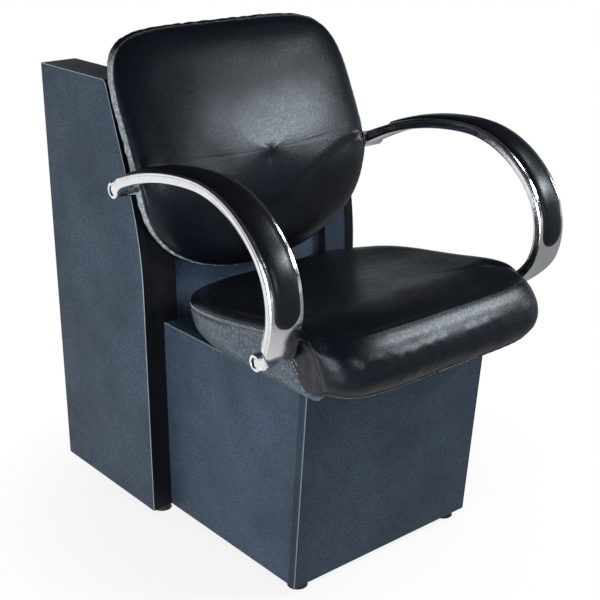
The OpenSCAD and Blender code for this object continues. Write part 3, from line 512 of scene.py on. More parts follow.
def cloth_move(name, rings, tip, calm):
    """Each ring point's movement when a coarse mesh, pinned at its first rings, is blown up."""
    total, count = rings.shape[:2]
    flat = rings.reshape(-1, 3)
    faces = ring_faces(total, count) + fan((total - 1) * count, count, total * count)
    obj, mesh = new_object(name, to_row(np.concatenate([flat, [tip]])), faces)
    group = obj.vertex_groups.new(name="pins")
    for ring, weight in CLOTH_PINS.items():
        group.add(list(range(ring * count, (ring + 1) * count)), weight, "REPLACE")
    cloth = obj.modifiers.new("cloth", "CLOTH")
    s = cloth.settings
    s.quality = 6
    s.mass = 0.35
    s.tension_stiffness = 40
    s.compression_stiffness = 40
    s.shear_stiffness = 20
    s.bending_stiffness = 6.0
    s.use_pressure = True
    s.uniform_pressure_force = CLOTH_PRESSURE
    s.vertex_group_mass = "pins"
    s.pin_stiffness = 1.0
    s.effector_weights.gravity = 0
    s.shrink_min = 0.004
    cloth.collision_settings.use_collision = False
    cloth.point_cache.frame_start = 1
    cloth.point_cache.frame_end = CLOTH_FRAMES
    for frame_number in range(1, CLOTH_FRAMES + 1):
        scene.frame_set(frame_number)
    done = obj.evaluated_get(bpy.context.evaluated_depsgraph_get()).to_mesh()
    moved = np.empty(len(done.vertices) * 3)
    done.vertices.foreach_get("co", moved)
    moved = moved.reshape(-1, 3)[:-1].reshape(rings.shape) / MM
    moved[..., 1] -= Y_SHIFT
    scene.frame_set(1)
    bpy.data.objects.remove(obj)
    bpy.data.meshes.remove(mesh)
    step = moved - rings
    for _ in range(calm):
        step = (step + np.roll(step, 1, axis=1) + np.roll(step, -1, axis=1)) / 3
        step[1:-1] = (step[1:-1] * 2 + step[:-2] + step[2:]) / 4
    size = np.linalg.norm(step, axis=2, keepdims=True)
    return step * np.minimum(1.0, CLOTH_CAP / np.maximum(size, 1e-9))


def refine(coarse, stops, angles, fine_stops, fine_angles):
    """A field on coarse rings and angles, read smoothly at finer ones."""
    count = len(angles)
    span = 2 * math.pi
    wrapped = np.concatenate([angles[-3:] - span, angles, angles[:3] + span])
    field = np.concatenate([coarse[:, -3:], coarse, coarse[:, :3]], axis=1)
    at = np.interp(fine_angles, wrapped, np.arange(-3, count + 3)) + 3
    rows = []
    for row in field:
        rows.append(np.stack([table_at(row[:, c], at) for c in range(3)], 1))
    rows = np.array(rows)
    where = np.interp(fine_stops, stops, np.arange(len(stops)))
    out = np.empty((len(fine_stops), len(fine_angles), 3))
    for j in range(len(fine_angles)):
        for c in range(3):
            out[:, j, c] = table_at(rows[:, j, c], where)
    return out


# Seat cushion, from the part's own outline and height rules

SEAT_HALF, SEAT_MID_Y, SEAT_HALF_D = 243.0, -287.0, 237.0
SEAT_BASE = 422 / 486
SEAT_SIDE = [SEAT_BASE + (1 - SEAT_BASE) * share for share in (0, 0.36, 0.62, 0.80, 0.97)]
SEAT_SIDE += [1, 0.97, 0.91, 0.8, 0.55, 0.28, 0]
SEAT_BULGE = [0, 0.045, 0.044, 0.024, 0.004, 0, 0, 0, 0, 0, 0, 0]
SEAT_REAR = [0.985, 0.985, 0.99, 0.99, 1, 1, 0.985, 0.92, 0.8, 0.55, 0.28, 0]
SEAT_FRONT = [0.935, 0.98, 1, 0.996, 0.982, 0.957, 0.922, 0.87, 0.775, 0.54, 0.28, 0]
SEAT_CORNER = [0.935, 0.98, 1, 1, 1, 1, 0.985, 0.95, 0.88, 0.6, 0.3, 0]
SEAT_SEAM = [0, 0.4, 0.85, 1, 1, 1, 1, 1, 1, 1, 1, 1]
SEAT_ROLL = [0, 0, 0, 0, 0.3, 0.55, 0.88, 1, 1, 1, 1, 1]
SEAT_NOSE = [0.02, 0.17, 0.31, 0.45, 0.58, 0.69, 0.8, 0.91, 1, 1, 1, 1]
SEAT_DISH = [0, 0, 0, 0, 0, 0, 0, 0, 0.25, 0.8, 1, 1]
SEAT_DIP = 8
DECK_Z, BOARD_TOP, SEAT_TOP = 388.0, 403.0, 521.0
NOSE_Z = 413.0
BOARD_MID_Y, BOARD_HALF_W, BOARD_HALF_D = -252, 189.8, 188.8
SEAT_BACK_Y, SEAT_FRONT_Y, SEAT_DEPTH = -50, -524, 474
REAR_TOP, TOP_RISE = 466, 73
NOSE_LENGTH, NOSE_R = 145, 230
# Roundness of the plan's corners in front and behind
FRONT_POWER, REAR_POWER = 2 / 6.7, 2 / 5


def forward(y):
    return np.clip((SEAT_BACK_Y - y) / SEAT_DEPTH, 0, 1)


def seat_seam(y):
    return 450 + 55 * forward(y) ** 1.25


def seat_top(y):
    slope = REAR_TOP + TOP_RISE * (SEAT_BACK_Y - y) / SEAT_DEPTH
    return slope - np.maximum(0, NOSE_LENGTH + SEAT_FRONT_Y - y) ** 2 / (2 * NOSE_R)


def frontness(t):
    return smooth01((-np.sin(t) - 0.15) / 0.3)


def seat_point(k, t):
    """Points of the seat's surface at real table indices k and angles t."""
    side, rear, front, bulge, corner = (
        table_at(tab, k) for tab in (SEAT_SIDE, SEAT_REAR, SEAT_FRONT, SEAT_BULGE, SEAT_CORNER))
    seam, roll, nose, dish = (
        table_at(tab, k) for tab in (SEAT_SEAM, SEAT_ROLL, SEAT_NOSE, SEAT_DISH))
    c, s = np.cos(t), np.sin(t)
    low = s < 0
    p = np.where(low, FRONT_POWER, REAR_POWER)
    f = frontness(t)
    y = SEAT_MID_Y + SEAT_HALF_D * np.where(low, front, rear) * signed_power(s, p)
    side = side + bulge * smooth01((y + 330) / 110)
    x = SEAT_HALF * np.where(low, side + (corner - side) * f, side) * signed_power(c, p)
    x = x * (1 - 0.035 * smooth01(1 - 2.4 * forward(y)))
    side_z = DECK_Z + seam * (seat_seam(y) - DECK_Z) + roll * (seat_top(y) - seat_seam(y))
    top = SEAT_TOP + (seat_top(y) - SEAT_TOP) * smooth01((k - 7.0) / 1.0)
    nose_z = NOSE_Z + nose * (top - NOSE_Z)
    z = side_z + (nose_z - side_z) * f - dish * SEAT_DIP
    return np.stack([x, y, z], -1)


def seam_index(t):
    """Table index of the seam: the side band's upper edge, swept down to the front roll's foot."""
    y = SEAT_MID_Y + SEAT_HALF_D * signed_power(np.minimum(np.sin(t), 0), FRONT_POWER)
    return 3.1 - 2.82 * smooth01((-335 - y) / 75)


def grid_index(low_rows, high_rows, seam, last):
    """Rows of real table indices, closest together at the seam, for each column."""
    u = np.linspace(0, 1, low_rows)[:, None]
    v = np.linspace(0, 1, high_rows)[1:, None]
    below = seam[None, :] * (1 - (1 - u) ** 1.7)
    above = seam[None, :] + (last - seam[None, :]) * (0.45 * v + 0.55 * v ** 2.2)
    return np.concatenate([below, above])


def spread_field(coarse, stops, angles, index, fine_angles):
    """The cloth's movement, read at a different table index in each column."""
    rows = np.linspace(stops[0], stops[-1], 60)
    last = len(rows) - 1
    field = refine(coarse, stops, angles, rows, fine_angles)
    out = np.zeros((*index.shape, 3))
    for j in range(index.shape[1]):
        at = np.clip((index[:, j] - rows[0]) / (rows[-1] - rows[0]) * last, 0, last)
        moved = np.stack([table_at(field[:, j, c], at) for c in range(3)], 1)
        out[:, j] = np.where((index[:, j] >= rows[0])[:, None], moved, 0)
    return out


def blown(name, point, ends, rings, side_angle, index, columns, tip, calm):
    """The grid's movement when the surface between two table indices is blown up as cloth."""
    stops = even_stops(lambda k, a: point(np.array([k]), a), *ends, rings, side_angle)
    angles = columns[::CLOTH_STEP]
    coarse = np.array([point(np.full_like(angles, k), angles) for k in stops])
    move = cloth_move(name, coarse, tip, calm)
    return spread_field(move, stops, angles, index, columns)


def nearest(path, points):
    """Distance of every point to a path, and the place along it."""
    tree = KDTree(len(path))
    for i, q in enumerate(path):
        tree.insert(q, i)
    tree.balance()
    found = [tree.find(q)[1:] for q in points]
    return np.array([f[1] for f in found]), np.array([f[0] for f in found])


PUCKER_REACH = 13.0


def sew(grid, normals, path, depth, width, pucker, step, seed):
    """Draw the surface in along a seam, with small puckers that fade away from it."""
    flat = grid.reshape(-1, 3)
    gap, place = nearest(path, flat)
    along = run_length(path)[place]
    uneven = waves(seed, path, 55.0)[place]
    fold = np.sin(2 * math.pi * along / step + 1.8 * uneven) * (0.6 + 0.4 * uneven)
    flute = pucker * fold * np.exp(-(gap / PUCKER_REACH) ** 2) * (gap > 1.0)
    drop = -depth * np.exp(-(gap / width) ** 2) + flute
    return grid + normals * drop.reshape(grid.shape[:2])[..., None]


def ripple(seed, points, wavelength, height, share):
    """Smooth seeded bumps up to about a height, where a share between 0 and 1 lets them show."""
    return waves(seed, points, wavelength).reshape(share.shape) * height * share


def fine_path(point):
    return point(np.linspace(0, 2 * math.pi, 2400, endpoint=False))


def cushion(name, rings, side_rows, under, top, lit_side_material):
    """A closed cushion through rings, whose first rows and underside have the side's material, a
    vinyl with painted light.
    """
    total, count = rings.shape[:2]
    points = np.concatenate([rings.reshape(-1, 3), [under], [top]])
    faces = ring_faces(total, count)
    kinds = [1 if face[0] // count < side_rows else 0 for face in faces]
    faces += fan((total - 1) * count, count, total * count + 1)
    kinds += [0] * count
    faces += fan(0, count, total * count, True)
    kinds += [1] * count
    return new_piece(name, points, faces, mat_vinyl, more=(lit_side_material,),
                     face_kind=kinds)


SEAT_COLUMNS = 352
# Rows below and above the seam
SEAT_ROWS = (15, 64)
seat_t = even_angles(lambda t: seat_point(np.full_like(t, 3.0), t), SEAT_COLUMNS)


def build_seat():
    index = grid_index(*SEAT_ROWS, seam_index(seat_t), 10.85)
    t = np.broadcast_to(seat_t, index.shape)
    grid = seat_point(index, t)
    middle = [0, SEAT_MID_Y, float(seat_top(SEAT_MID_Y)) - SEAT_DIP]
    grid = grid + blown("seat_cloth", seat_point, (3.0, 10.6), 24, math.radians(-30), index,
                        seat_t, middle, 3)
    normals = face_normals_out(grid)
    flat = grid.reshape(-1, 3)
    top_share = smooth01((index - 3.2) / 3.0)
    side_share = (1 - top_share) * smooth01(index / 0.8)
    uneven = ripple(3, flat, 170.0, 0.8, top_share)
    uneven = uneven + ripple(4, flat, 40.0, 0.12, top_share)
    uneven = uneven + ripple(5, flat, 30.0, 0.6, side_share)
    grid = grid + normals * uneven[..., None]
    seam = fine_path(lambda a: seat_point(seam_index(a), a))
    grid = sew(grid, normals, seam, 2.6, 2.6, 0.35, 19.0, 6)
    under = []
    for z in (BOARD_TOP + 0.5, DECK_Z):
        x = BOARD_HALF_W * signed_power(np.cos(seat_t), 0.4)
        y = BOARD_MID_Y + BOARD_HALF_D * signed_power(np.sin(seat_t), 0.4)
        under.append(np.stack([x, y, np.full_like(seat_t, z)], 1))
    for share in (0.35, 0.7):
        under.append(under[1] + (grid[0] - under[1]) * share)
    raised = float(grid[-1, :, 2].mean() - seat_point(index[-1], seat_t)[:, 2].mean())
    side_rows = len(under) + SEAT_ROWS[0] - 1
    obj = cushion("seat_upholstery", np.concatenate([np.array(under), grid]), side_rows,
                  [0, BOARD_MID_Y, BOARD_TOP + 0.5], [0, SEAT_MID_Y, middle[2] + raised], mat_band_lit)
    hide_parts("seat_cover", "seat_foam")
    return grid, index, face_normals_out(grid)


def tube(path, radius, closed=True):
    """Points and faces of a welt swept along a path; a closed path has no ends."""
    sides = 8
    path = np.asarray(path, float)
    n = len(path)
    if closed:
        along = np.roll(path, -1, 0) - np.roll(path, 1, 0)
    else:
        along = np.gradient(path, axis=0)
    along /= np.linalg.norm(along, axis=1, keepdims=True)
    side = np.cross(along, [0.0, 0.0, 1.0])
    side /= np.maximum(np.linalg.norm(side, axis=1, keepdims=True), 1e-9)
    up = np.cross(side, along)
    points = []
    for i in range(n):
        for j in range(sides):
            a = 2 * math.pi * j / sides
            points.append(path[i] + radius * (math.cos(a) * side[i] + math.sin(a) * up[i]))
    faces = []
    for i in range(n if closed else n - 1):
        for j in range(sides):
            a, b = i * sides + j, i * sides + (j + 1) % sides
            c, d = ((i + 1) % n) * sides + (j + 1) % sides, ((i + 1) % n) * sides + j
            faces.append((a, d, c, b))
    if not closed:
        faces.append(tuple(range(sides)))
        faces.append(tuple((n - 1) * sides + j for j in range(sides))[::-1])
    return points, faces


# A stitch's rings: share along it, lift off the cloth and share of its radius
STITCH_RINGS = ((0, -0.3, 0.35), (0.2, 0.45, 1.0), (0.8, 0.45, 1.0), (1, -0.3, 0.35))


def capsules(paths, step, length, radius):
    """Short stitches laid along paths of (point, normal) rows."""
    points, faces = [], []
    for path, normal in paths:
        run = run_length(path)
        for start in np.arange(step, run[-1] - step, step):
            ends = []
            for share, lift, size in STITCH_RINGS:
                place = start + length * share
                q = np.array([np.interp(place, run, path[:, c]) for c in range(3)])
                n = np.array([np.interp(place, run, normal[:, c]) for c in range(3)])
                ends.append((q, n / np.linalg.norm(n), lift, size))
            base = len(points)
            ahead = ends[-1][0] - ends[0][0]
            ahead /= np.linalg.norm(ahead)
            for q, n, lift, size in ends:
                side = np.cross(ahead, n)
                for j in range(6):
                    a = math.pi * j / 3
                    around = math.cos(a) * side + math.sin(a) * n
                    points.append(q + n * lift + radius * size * around)
            for k in range(3):
                for j in range(6):
                    a, b = base + k * 6 + j, base + k * 6 + (j + 1) % 6
                    faces.append((a, b, b + 6, a + 6))
            faces.append(tuple(base + j for j in range(6))[::-1])
            faces.append(tuple(base + 18 + j for j in range(6)))
    return points, faces


def on_grid(grid, index, normals, wanted):
    """A row of points on a grid at a table index for each column, with its normals."""
    points, outs = [], []
    for j, k in enumerate(wanted):
        column = index[:, j]
        points.append([np.interp(k, column, grid[:, j, c]) for c in range(3)])
        outs.append([np.interp(k, column, normals[:, j, c]) for c in range(3)])
    return np.array(points), np.array(outs)


def side_run(points, normals, keep):
    """The kept columns of a closed row, in order round the outline and starting after the gap."""
    start = int(np.argmin(keep))
    order = [(start + i) % len(keep) for i in range(len(keep))]
    picked = [i for i in order if keep[i]]
    return points[picked], normals[picked]


def trim_seat(grid, index, normals):
    """Two rows of stitches above the side seam, and the welt under the front roll."""
    paths = []
    for rise in (0.42, 0.80):
        row, out = on_grid(grid, index, normals, seam_index(seat_t) + rise)
        for sign in (-1, 1):
            chosen = (np.sign(np.cos(seat_t)) == sign) & (row[:, 1] < -66) & (row[:, 1] > -400)
            paths.append(side_run(row, out, chosen))
    points, faces = capsules(paths, 6.5, 4.6, 0.9)
    new_piece("seat_thread", points, faces, mat_thread_glint)
    row, out = on_grid(grid, index, normals, seam_index(seat_t))
    path, out = side_run(row, out, np.sin(seat_t) < -0.30)
    points, faces = tube(path + out * 0.6, 2.4, closed=False)
    new_piece("seat_welt", points, faces, mat_welt_lit)


trim_seat(*build_seat())


# Back cushion

BACK_HALF, BACK_TOP, BACK_LOW, BACK_WIDE = 260.0, 899.0, 464.0, 684.0
BACK_OUTLINE = [0.985, 0.995, 1, 0.998, 0.988, 0.99, 0.97, 0.93, 0.84, 0.7, 0.52, 0.28, 0]
BACK_BOXING = [0, 0.1, 0.5, 0.95, 1.05, 1, 1, 1, 1, 1, 1, 1, 1]
BACK_ROLL = [0, 0, 0, 0, 0, 0.2, 0.65, 0.9, 1, 1, 1, 1, 1]
BACK_CROWN = [0, 0, 0, 0, 0, 0, 0, 0.15, 0.45, 0.7, 0.87, 0.97, 1]
BACK_CREASE = [0, 0, 0, 0, 0, 0.2, 0.7, 1, 1, 1, 1, 1, 1]
BOXING_DEPTH, ROLL_DEPTH, CROWN_DEPTH = 20, 18, 24
# The back board bends about this height
KNEE_Z, KNEE_SOFT = 650, 30
CREASE_Z, CREASE_DROP, CREASE_HALF = 680, 85, 120
# Roundness of the outline's upper corners and of its lower part, across and down
TOP_POWER, LOW_POWER_X, LOW_POWER_Z = 2 / 5.5, 2 / 2.1, 2 / 2.55


def back_y(z):
    d = z - KNEE_Z
    return -7 + 0.2775 * np.sqrt(d * d + KNEE_SOFT * KNEE_SOFT) + 0.1925 * d


def back_outline(t, share):
    c, s = np.cos(t), np.sin(t)
    up = s > 0
    x = BACK_HALF * share * signed_power(c, np.where(up, TOP_POWER, LOW_POWER_X))
    reach = share * np.where(up, BACK_TOP - BACK_WIDE, BACK_WIDE - BACK_LOW)
    z = BACK_WIDE + reach * signed_power(s, np.where(up, TOP_POWER, LOW_POWER_Z))
    return x, z


def crease_z(x):
    return CREASE_Z - CREASE_DROP * np.exp(-(x / CREASE_HALF) ** 2)


def back_point(k, t):
    """Points of the back's surface at real table indices k and angles t."""
    share, boxing, roll, crown, creased = (
        table_at(tab, k) for tab in (BACK_OUTLINE, BACK_BOXING, BACK_ROLL, BACK_CROWN, BACK_CREASE))
    x, z = back_outline(t, share)
    off = z - crease_z(x)
    away = 0.45 + 0.55 * smooth01((np.abs(x) - 20) / 90)
    fold = 7.5 * away * smooth01((9 - off) / 20) * (1 - smooth01((-off - 15) / 120))
    depth = BOXING_DEPTH * boxing + ROLL_DEPTH * roll + CROWN_DEPTH * crown - creased * fold
    return np.stack([x, back_y(z) - depth, z], -1)


BACK_COLUMNS = 336
BACK_ROWS = (14, 66)
BACK_SEAM = 4.0
BOARD_FRONT = 24.5
back_t = even_angles(lambda t: back_point(np.full_like(t, BACK_SEAM), t), BACK_COLUMNS)


def build_back():
    index = grid_index(*BACK_ROWS, np.full_like(back_t, BACK_SEAM), 11.85)
    t = np.broadcast_to(back_t, index.shape)
    grid = back_point(index, t)
    wide_y = float(back_y(BACK_WIDE))
    middle = [0, wide_y - (BOXING_DEPTH + ROLL_DEPTH + CROWN_DEPTH), BACK_WIDE]
    grid = grid + blown("back_cloth", back_point, (BACK_SEAM, 11.6), 22, 0.0, index, back_t,
                        middle, 4)
    normals = face_normals_out(grid)
    flat = grid.reshape(-1, 3)
    front_share = smooth01((index - 4.2) / 2.5)
    gathers = (1 - smooth01((index - 3.6) / 0.5)) * smooth01(index / 0.6)
    uneven = ripple(11, flat, 170.0, 0.8, front_share)
    uneven = uneven + ripple(12, flat, 40.0, 0.1, front_share)
    uneven = uneven + ripple(13, flat * np.array([1.0, 0.3, 1.0]), 15.0, 0.8, gathers)
    grid = grid + normals * uneven[..., None]
    seam = fine_path(lambda a: back_point(np.full_like(a, BACK_SEAM), a))
    grid = sew(grid, normals, seam, 2.4, 2.8, 0.4, 17.0, 14)
    inner = []
    for share, depth in ((0.92, BOARD_FRONT), (0.92, 0.0), (0.95, 0.0)):
        x, z = back_outline(back_t, share)
        inner.append(np.stack([x, back_y(z) - depth, z], 1))
    side_rows = len(inner) + BACK_ROWS[0] - 1
    obj = cushion("back_upholstery", np.concatenate([np.array(inner), grid]), side_rows,
                  [0, wide_y - BOARD_FRONT, BACK_WIDE],
                  [0, float(grid[-1, :, 1].mean()), BACK_WIDE], mat_boxing_lit)
    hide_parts("back_cover", "back_foam")
    row, out = on_grid(grid, index, face_normals_out(grid), np.full(BACK_COLUMNS, BACK_SEAM))
    points, faces = tube(row + out * 0.3, 2.1)
    new_piece("back_welt", points, faces, mat_welt_lit)


build_back()


# Arms: the part's chain of arcs, with a rounded section, a groove and a rim round the pad

BAR_T = 18.0
ARM_X, ARM_W = 265.0, 61.0
BOSS_D, BORE_D, BORE_L = 30.0, 17.0, 22.0
TURNS = [48.5, 93.5, 169.5]
RADII = [191.0, 126.0, 111.0]
REAR_R, REAR_TURN = 516.0, 29.4
PAD_FROM, PAD_TO = -23.0, 100.0
PAD_X0, PAD_X1 = 272.0, 320.0
# Where the arm begins to narrow behind, and the headings between which it narrows in front
REAR_NECK_Y = -75
FRONT_NECK = (112, 161)


def inward(h):
    a = math.radians(h)
    return np.array([math.sin(a), -math.cos(a)])


def after_arc(start, r, h0, h1):
    return start + r * (inward(h0) - inward(h1))


ARM_START = np.array([-265.0, 714.0])
ARM_SECOND = after_arc(ARM_START, RADII[0], 0, TURNS[0])
ARM_THIRD = after_arc(ARM_SECOND, RADII[1], TURNS[0], TURNS[1])


def arm_arc(h):
    """Start point, radius and starting heading of the arc that holds a heading."""
    if h < 0:
        return ARM_START, REAR_R, 0
    if h < TURNS[0]:
        return ARM_START, RADII[0], 0
    if h < TURNS[1]:
        return ARM_SECOND, RADII[1], TURNS[0]
    return ARM_THIRD, RADII[2], TURNS[1]


def arm_line(h):
    start, radius, turned = arm_arc(h)
    return after_arc(start, radius, turned, h)


def arm_radius(h):
    return arm_arc(h)[1]


def arm_at(h, out):
    return arm_line(h) - out * inward(h)


REAR_BOSS = arm_at(-REAR_TURN, BAR_T / 2)
FRONT_BOSS = arm_at(TURNS[2], BAR_T / 2)
# Inner end, length and centre of each boss
BOSSES = ((260.5, 46.0, REAR_BOSS), (222.0, 53.0, FRONT_BOSS))


def arm_width(h):
    """Inner and outer places across at a heading, with the necks towards both bosses."""
    y = arm_line(h)[0]
    rear = float(smooth01((y - REAR_NECK_Y) / (REAR_BOSS[0] - REAR_NECK_Y)))
    front = float(smooth01((h - FRONT_NECK[0]) / (FRONT_NECK[1] - FRONT_NECK[0])))
    inner = ARM_X - 4.5 * rear - 32 * front
    outer = ARM_X + ARM_W - 19.5 * rear - 51 * front
    return inner, outer


def length_between(h0, h1):
    hs = np.linspace(h0, h1, 61)
    step = math.radians(hs[1] - hs[0])
    return sum(step * arm_radius((a + b) / 2) for a, b in zip(hs[:-1], hs[1:]))


PAD_ROUND = 22.0


def pad_share(h):
    """Half width share of the pad at a heading: 1 along it, round at both ends, 0 beyond."""
    if h <= PAD_FROM or h >= PAD_TO:
        return 0.0
    d = min(length_between(PAD_FROM, h), length_between(h, PAD_TO))
    if d >= PAD_ROUND:
        return 1.0
    return math.sqrt(1 - (1 - d / PAD_ROUND) ** 2)


def arm_headings():
    """Headings along the arm, closer together at the pad's ends."""
    hs = list(np.linspace(-REAR_TURN, TURNS[2], 150))
    for end, sign in ((PAD_FROM, 1), (PAD_TO, -1)):
        r = arm_radius(end)
        for f in (0.0005, 0.004, 0.016, 0.04, 0.08, 0.14, 0.22, 0.33, 0.47, 0.64, 0.82, 1.0):
            hs.append(end + sign * math.degrees(f * PAD_ROUND / r))
        hs.append(end - sign * 0.02)
    return sorted(set(round(h, 4) for h in hs))


def arm_section(h):
    """Points (x, out) round the bar at a heading."""
    xi, xo = arm_width(h)
    near = max(0.0, 1 - (h + REAR_TURN) / 7.0)
    low_end = float(smooth01((h - 148) / 20))
    lo = -1.5 * near - 2.0 * low_end
    hi = BAR_T + 2.0 * near + 2.5 * low_end
    r = 4.5
    g = hi - 4.6
    cut = 1.5
    share = pad_share(h)
    mid = (PAD_X0 + PAD_X1) / 2
    half = (PAD_X1 - PAD_X0) / 2 * share
    floor = hi - 4.8 * (1 if share > 0 else 0)
    bulge = 1.2
    pts = [(xi + r, lo), (xi + 0.32 * r, lo + 0.30 * r), (xi, lo + r)]
    pts += [(xi - bulge * 0.7, lo + 0.45 * (g - lo)), (xi - bulge * 0.2, g - 1.4)]
    pts += [(xi + cut * 0.9, g - 0.7), (xi + cut * 0.9, g + 0.7), (xi, g + 1.3)]
    pts += [(xi - 0.1, hi - 1.9), (xi + 0.6, hi - 0.6), (xi + 2.2, hi)]
    a = min(max(mid - half, xi + 2.6), xo - 2.6)
    b = max(min(mid + half, xo - 2.6), xi + 2.6)
    if share == 0:
        a = b = min(max(mid, xi + 3), xo - 3)
    pts += [(a - 0.3, hi), (a + 0.2, floor), (b - 0.2, floor), (b + 0.3, hi)]
    pts += [(xo - 2.2, hi), (xo - 0.6, hi - 0.6), (xo + 0.1, hi - 1.9)]
    pts += [(xo, g + 1.3), (xo - cut * 0.9, g + 0.7), (xo - cut * 0.9, g - 0.7)]
    pts += [(xo + bulge * 0.2, g - 1.4), (xo + bulge * 0.7, lo + 0.45 * (g - lo))]
    pts += [(xo, lo + r), (xo - 0.32 * r, lo + 0.30 * r), (xo - r, lo)]
    return pts


def boss_mesh(x0, length, centre):
    """A turned boss with rounded rims and an open counterbore; True marks the bore's faces, which
    take painted shade.
    """
    r, hole = BOSS_D / 2, BORE_D / 2
    profile = [(0.0, r - 2.5), (0.7, r - 0.8), (2.5, r), (length - 3.2, r),
               (length - 1.2, r - 0.6), (length - 0.2, r - 1.9), (length, r - 3.4),
               (length, hole + 1.2), (length - 0.5, hole + 0.3), (length - 1.4, hole),
               (length - BORE_L, hole), (length - BORE_L, 4.4), (0.0, 4.4)]
    count = 56
    points, faces, dark = [], [], []
    for x, rad in profile:
        for i in range(count):
            a = 2 * math.pi * i / count
            points.append((x0 + x, centre[0] + rad * math.cos(a), centre[1] + rad * math.sin(a)))
    n = len(profile)
    for k in range(n):
        for i in range(count):
            j = (i + 1) % count
            k2 = (k + 1) % n
            faces.append((k * count + i, k2 * count + i, k2 * count + j, k * count + j))
            dark.append(k in (9, 10, 11))
    return points, faces, dark


def ring_solid(rings):
    """Points and faces of a solid through rings of points, with flat ends."""
    count = len(rings[0])
    points = [p for ring in rings for p in ring]
    faces = ring_faces(len(rings), count)
    faces.append(tuple(range(count))[::-1])
    faces.append(tuple((len(rings) - 1) * count + i for i in range(count)))
    return points, faces


def mirrored(points, faces, side):
    points = np.asarray(points, float)
    if side < 0:
        points = points * np.array([-1, 1, 1])
        faces = [tuple(f[::-1]) for f in faces]
    return points, faces


def build_arm(side, word):
    rings = [[(x, *arm_at(h, out)) for x, out in arm_section(h)] for h in arm_headings()]
    points, faces = ring_solid(rings)
    kinds = [0] * len(faces)
    for x0, length, centre in BOSSES:
        more, more_faces, dark = boss_mesh(x0, length, centre)
        base = len(points)
        points += more
        faces += [tuple(i + base for i in f) for f in more_faces]
        kinds += [1 if d else 0 for d in dark]
    points, faces = mirrored(points, faces, side)
    obj = new_piece("arm_cast_" + word, points, faces, mat_arm, 32, (mat_bore_shaded,), kinds)
    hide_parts("arm_" + word)


def build_pad(side, word):
    across = [0, 0.02, 0.06, 0.13, 0.22, 0.34, 0.5, 0.66, 0.78, 0.87, 0.94, 0.98, 1.0]
    rings = []
    mid = (PAD_X0 + PAD_X1) / 2
    half_full = (PAD_X1 - PAD_X0) / 2 - 0.5
    for h in arm_headings():
        if not PAD_FROM < h < PAD_TO:
            continue
        share = pad_share(h)
        half = half_full * share
        rise = 0.5 + 4.6 * min(1.0, share * 1.3)
        ring = [(mid - half, BAR_T - 4.5)]
        for a in across:
            w = 2 * a - 1
            crown = (1 - abs(w) ** 3.2) ** 0.62
            ring.append((mid + half * w, BAR_T - 0.6 + (rise + 0.6) * crown))
        ring.append((mid + half, BAR_T - 4.5))
        rings.append([(x, *arm_at(h, out)) for x, out in ring])
    points, faces = mirrored(*ring_solid(rings), side)
    obj = new_piece("arm_cushion_" + word, points, faces, mat_pad, 50)
    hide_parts("arm_pad_" + word)


for arm_side, arm_word in ((-1, "left"), (1, "right")):
    build_arm(arm_side, arm_word)
    build_pad(arm_side, arm_word)


# Floor, light and world

REFLECT_FLOOR, REFLECT_LOW, REFLECT_HIGH, FILL = 0.95, 0.04, 0.80, 0.30
# How fast the bright horizon fades upwards
HORIZON_FADE = 5.5
# The paper's whiteness near the chair, and the distances over which it becomes full white
PAPER_NEAR, PAPER_FROM, PAPER_TO = 0.84, 0.35, 0.65


def stage_floor():
    """Paper that takes the chair's shadow, white further out and a bright sheet to reflections."""
    half = 6.0
    corners = [(-half, -half, 0), (half, -half, 0), (half, half, 0), (-half, half, 0)]
    obj, mesh = new_object("floor", corners, [(0, 1, 2, 3)])
    m = Nodes("floor_paper")
    m.colour((0.93, 0.93, 0.93))
    m.rough(0.9)
    path = m.add("ShaderNodeLightPath")
    x, y = m.axes()[:2]
    square = m.calc("ADD", m.calc("MULTIPLY", x, x), m.calc("MULTIPLY", y, y))
    white = m.fit(m.calc("SQRT", square), PAPER_NEAR, 1.0, PAPER_FROM, PAPER_TO)
    seen = m.calc("MAXIMUM", m.calc("MULTIPLY", path.outputs["Is Camera Ray"], white),
                  path.outputs["Is Glossy Ray"])
    glow = m.add("ShaderNodeEmission")
    to_right_front = m.calc("MULTIPLY_ADD", y, -0.5, x)
    level = m.fit(to_right_front, REFLECT_FLOOR, REFLECT_FLOOR * 0.3, -0.6, 0.9)
    m.link(m.calc("MAXIMUM", path.outputs["Is Camera Ray"], level), glow.inputs["Strength"])
    both = m.add("ShaderNodeMixShader")
    m.link(seen, both.inputs[0])
    m.link(m.shader.outputs[0], both.inputs[1])
    m.link(glow.outputs[0], both.inputs[2])
    m.link(both.outputs[0], m.tree.nodes["Material Output"].inputs["Surface"])
    mesh.materials.append(m.material)


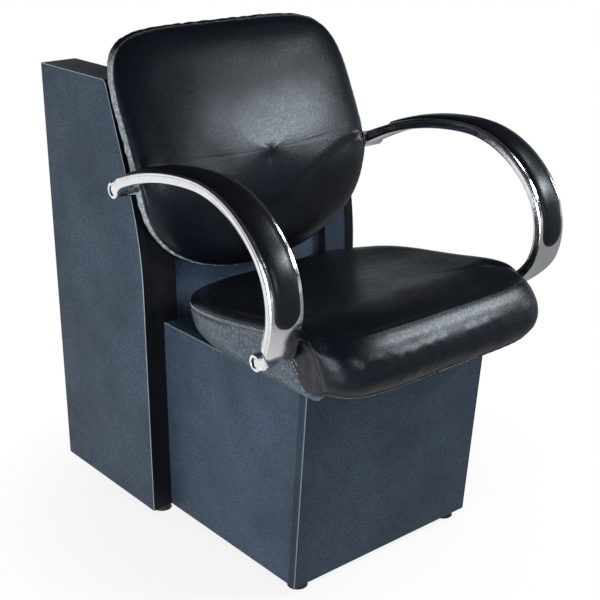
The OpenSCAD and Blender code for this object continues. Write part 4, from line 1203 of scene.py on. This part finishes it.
def make_world():
    """White to the camera, a dark room with a bright horizon to reflections, and a plain fill."""
    world = bpy.data.worlds.new("studio")
    scene.world = world
    world.use_nodes = True
    tree = world.node_tree
    tree.nodes.clear()

    def math_node(operation, a, b):
        node = tree.nodes.new("ShaderNodeMath")
        node.operation = operation
        for value, socket in ((a, node.inputs[0]), (b, node.inputs[1])):
            if hasattr(value, "links"):
                tree.links.new(value, socket)
            else:
                socket.default_value = value
        return node.outputs[0]

    path = tree.nodes.new("ShaderNodeLightPath")
    place = tree.nodes.new("ShaderNodeTexCoord")
    split = tree.nodes.new("ShaderNodeSeparateXYZ")
    tree.links.new(place.outputs["Generated"], split.inputs[0])
    fade = math_node("MULTIPLY", split.outputs["Z"], HORIZON_FADE)
    low = math_node("SUBTRACT", 1.0, fade)
    band = math_node("MAXIMUM", low, REFLECT_LOW)
    soft = math_node("MULTIPLY", math_node("MINIMUM", band, 1.0), REFLECT_HIGH)
    other = math_node("SUBTRACT", 1.0, path.outputs["Is Camera Ray"])
    level = math_node("ADD", path.outputs["Is Camera Ray"], math_node("MULTIPLY", soft, other))
    white = tree.nodes.new("ShaderNodeBackground")
    tree.links.new(level, white.inputs["Strength"])
    plain = tree.nodes.new("ShaderNodeBackground")
    plain.inputs["Strength"].default_value = FILL
    seen = math_node("MAXIMUM", path.outputs["Is Camera Ray"], path.outputs["Is Glossy Ray"])
    seen = math_node("MAXIMUM", seen, path.outputs["Is Transmission Ray"])
    mix = tree.nodes.new("ShaderNodeMixShader")
    out = tree.nodes.new("ShaderNodeOutputWorld")
    plain.inputs["Color"].default_value = (1, 1, 1, 1)
    cool = tree.nodes.new("ShaderNodeMix")
    cool.data_type = "RGBA"
    cool.inputs[6].default_value = (0.82, 0.92, 1.0, 1.0)
    cool.inputs[7].default_value = (1, 1, 1, 1)
    tree.links.new(path.outputs["Is Camera Ray"], cool.inputs[0])
    tree.links.new(cool.outputs[2], white.inputs["Color"])
    tree.links.new(seen, mix.inputs[0])
    tree.links.new(plain.outputs[0], mix.inputs[1])
    tree.links.new(white.outputs[0], mix.inputs[2])
    tree.links.new(mix.outputs[0], out.inputs[0])


def lamp(name, toward, distance, size, size_y, power, target):
    """A soft box seen from its target in a direction."""
    toward = Vector(toward).normalized()
    data = bpy.data.lights.new(name, "AREA")
    data.shape = "RECTANGLE"
    data.size = size
    data.size_y = size_y
    data.energy = power
    obj = bpy.data.objects.new(name, data)
    obj.location = Vector(target) + toward * distance
    obj.rotation_euler = (-toward).to_track_quat("-Z", "Y").to_euler()
    scene.collection.objects.link(obj)


# Each lamp's name, direction from its target, distance, width, height, power and target
LAMPS = (
    ("right_front", (0.62, -0.63, 0.46), 2.4, 0.8, 0.45, 40, (0, 0, 0.55)),
    ("left", (-0.93, -0.36, 0.06), 1.7, 1.0, 0.6, 15, (0, 0.05, 0.35)),
    ("front", (-0.14, -0.95, 0.30), 2.5, 0.22, 0.7, 9, (0, 0, 0.55)),
    ("right", (0.84, -0.46, 0.30), 2.4, 0.18, 0.7, 4, (0, 0, 0.55)),
    ("high", (0.60, -0.33, 0.69), 2.2, 0.35, 0.3, 5, (0, 0, 0.55)),
)
stage_floor()
make_world()
for one in LAMPS:
    lamp(*one)
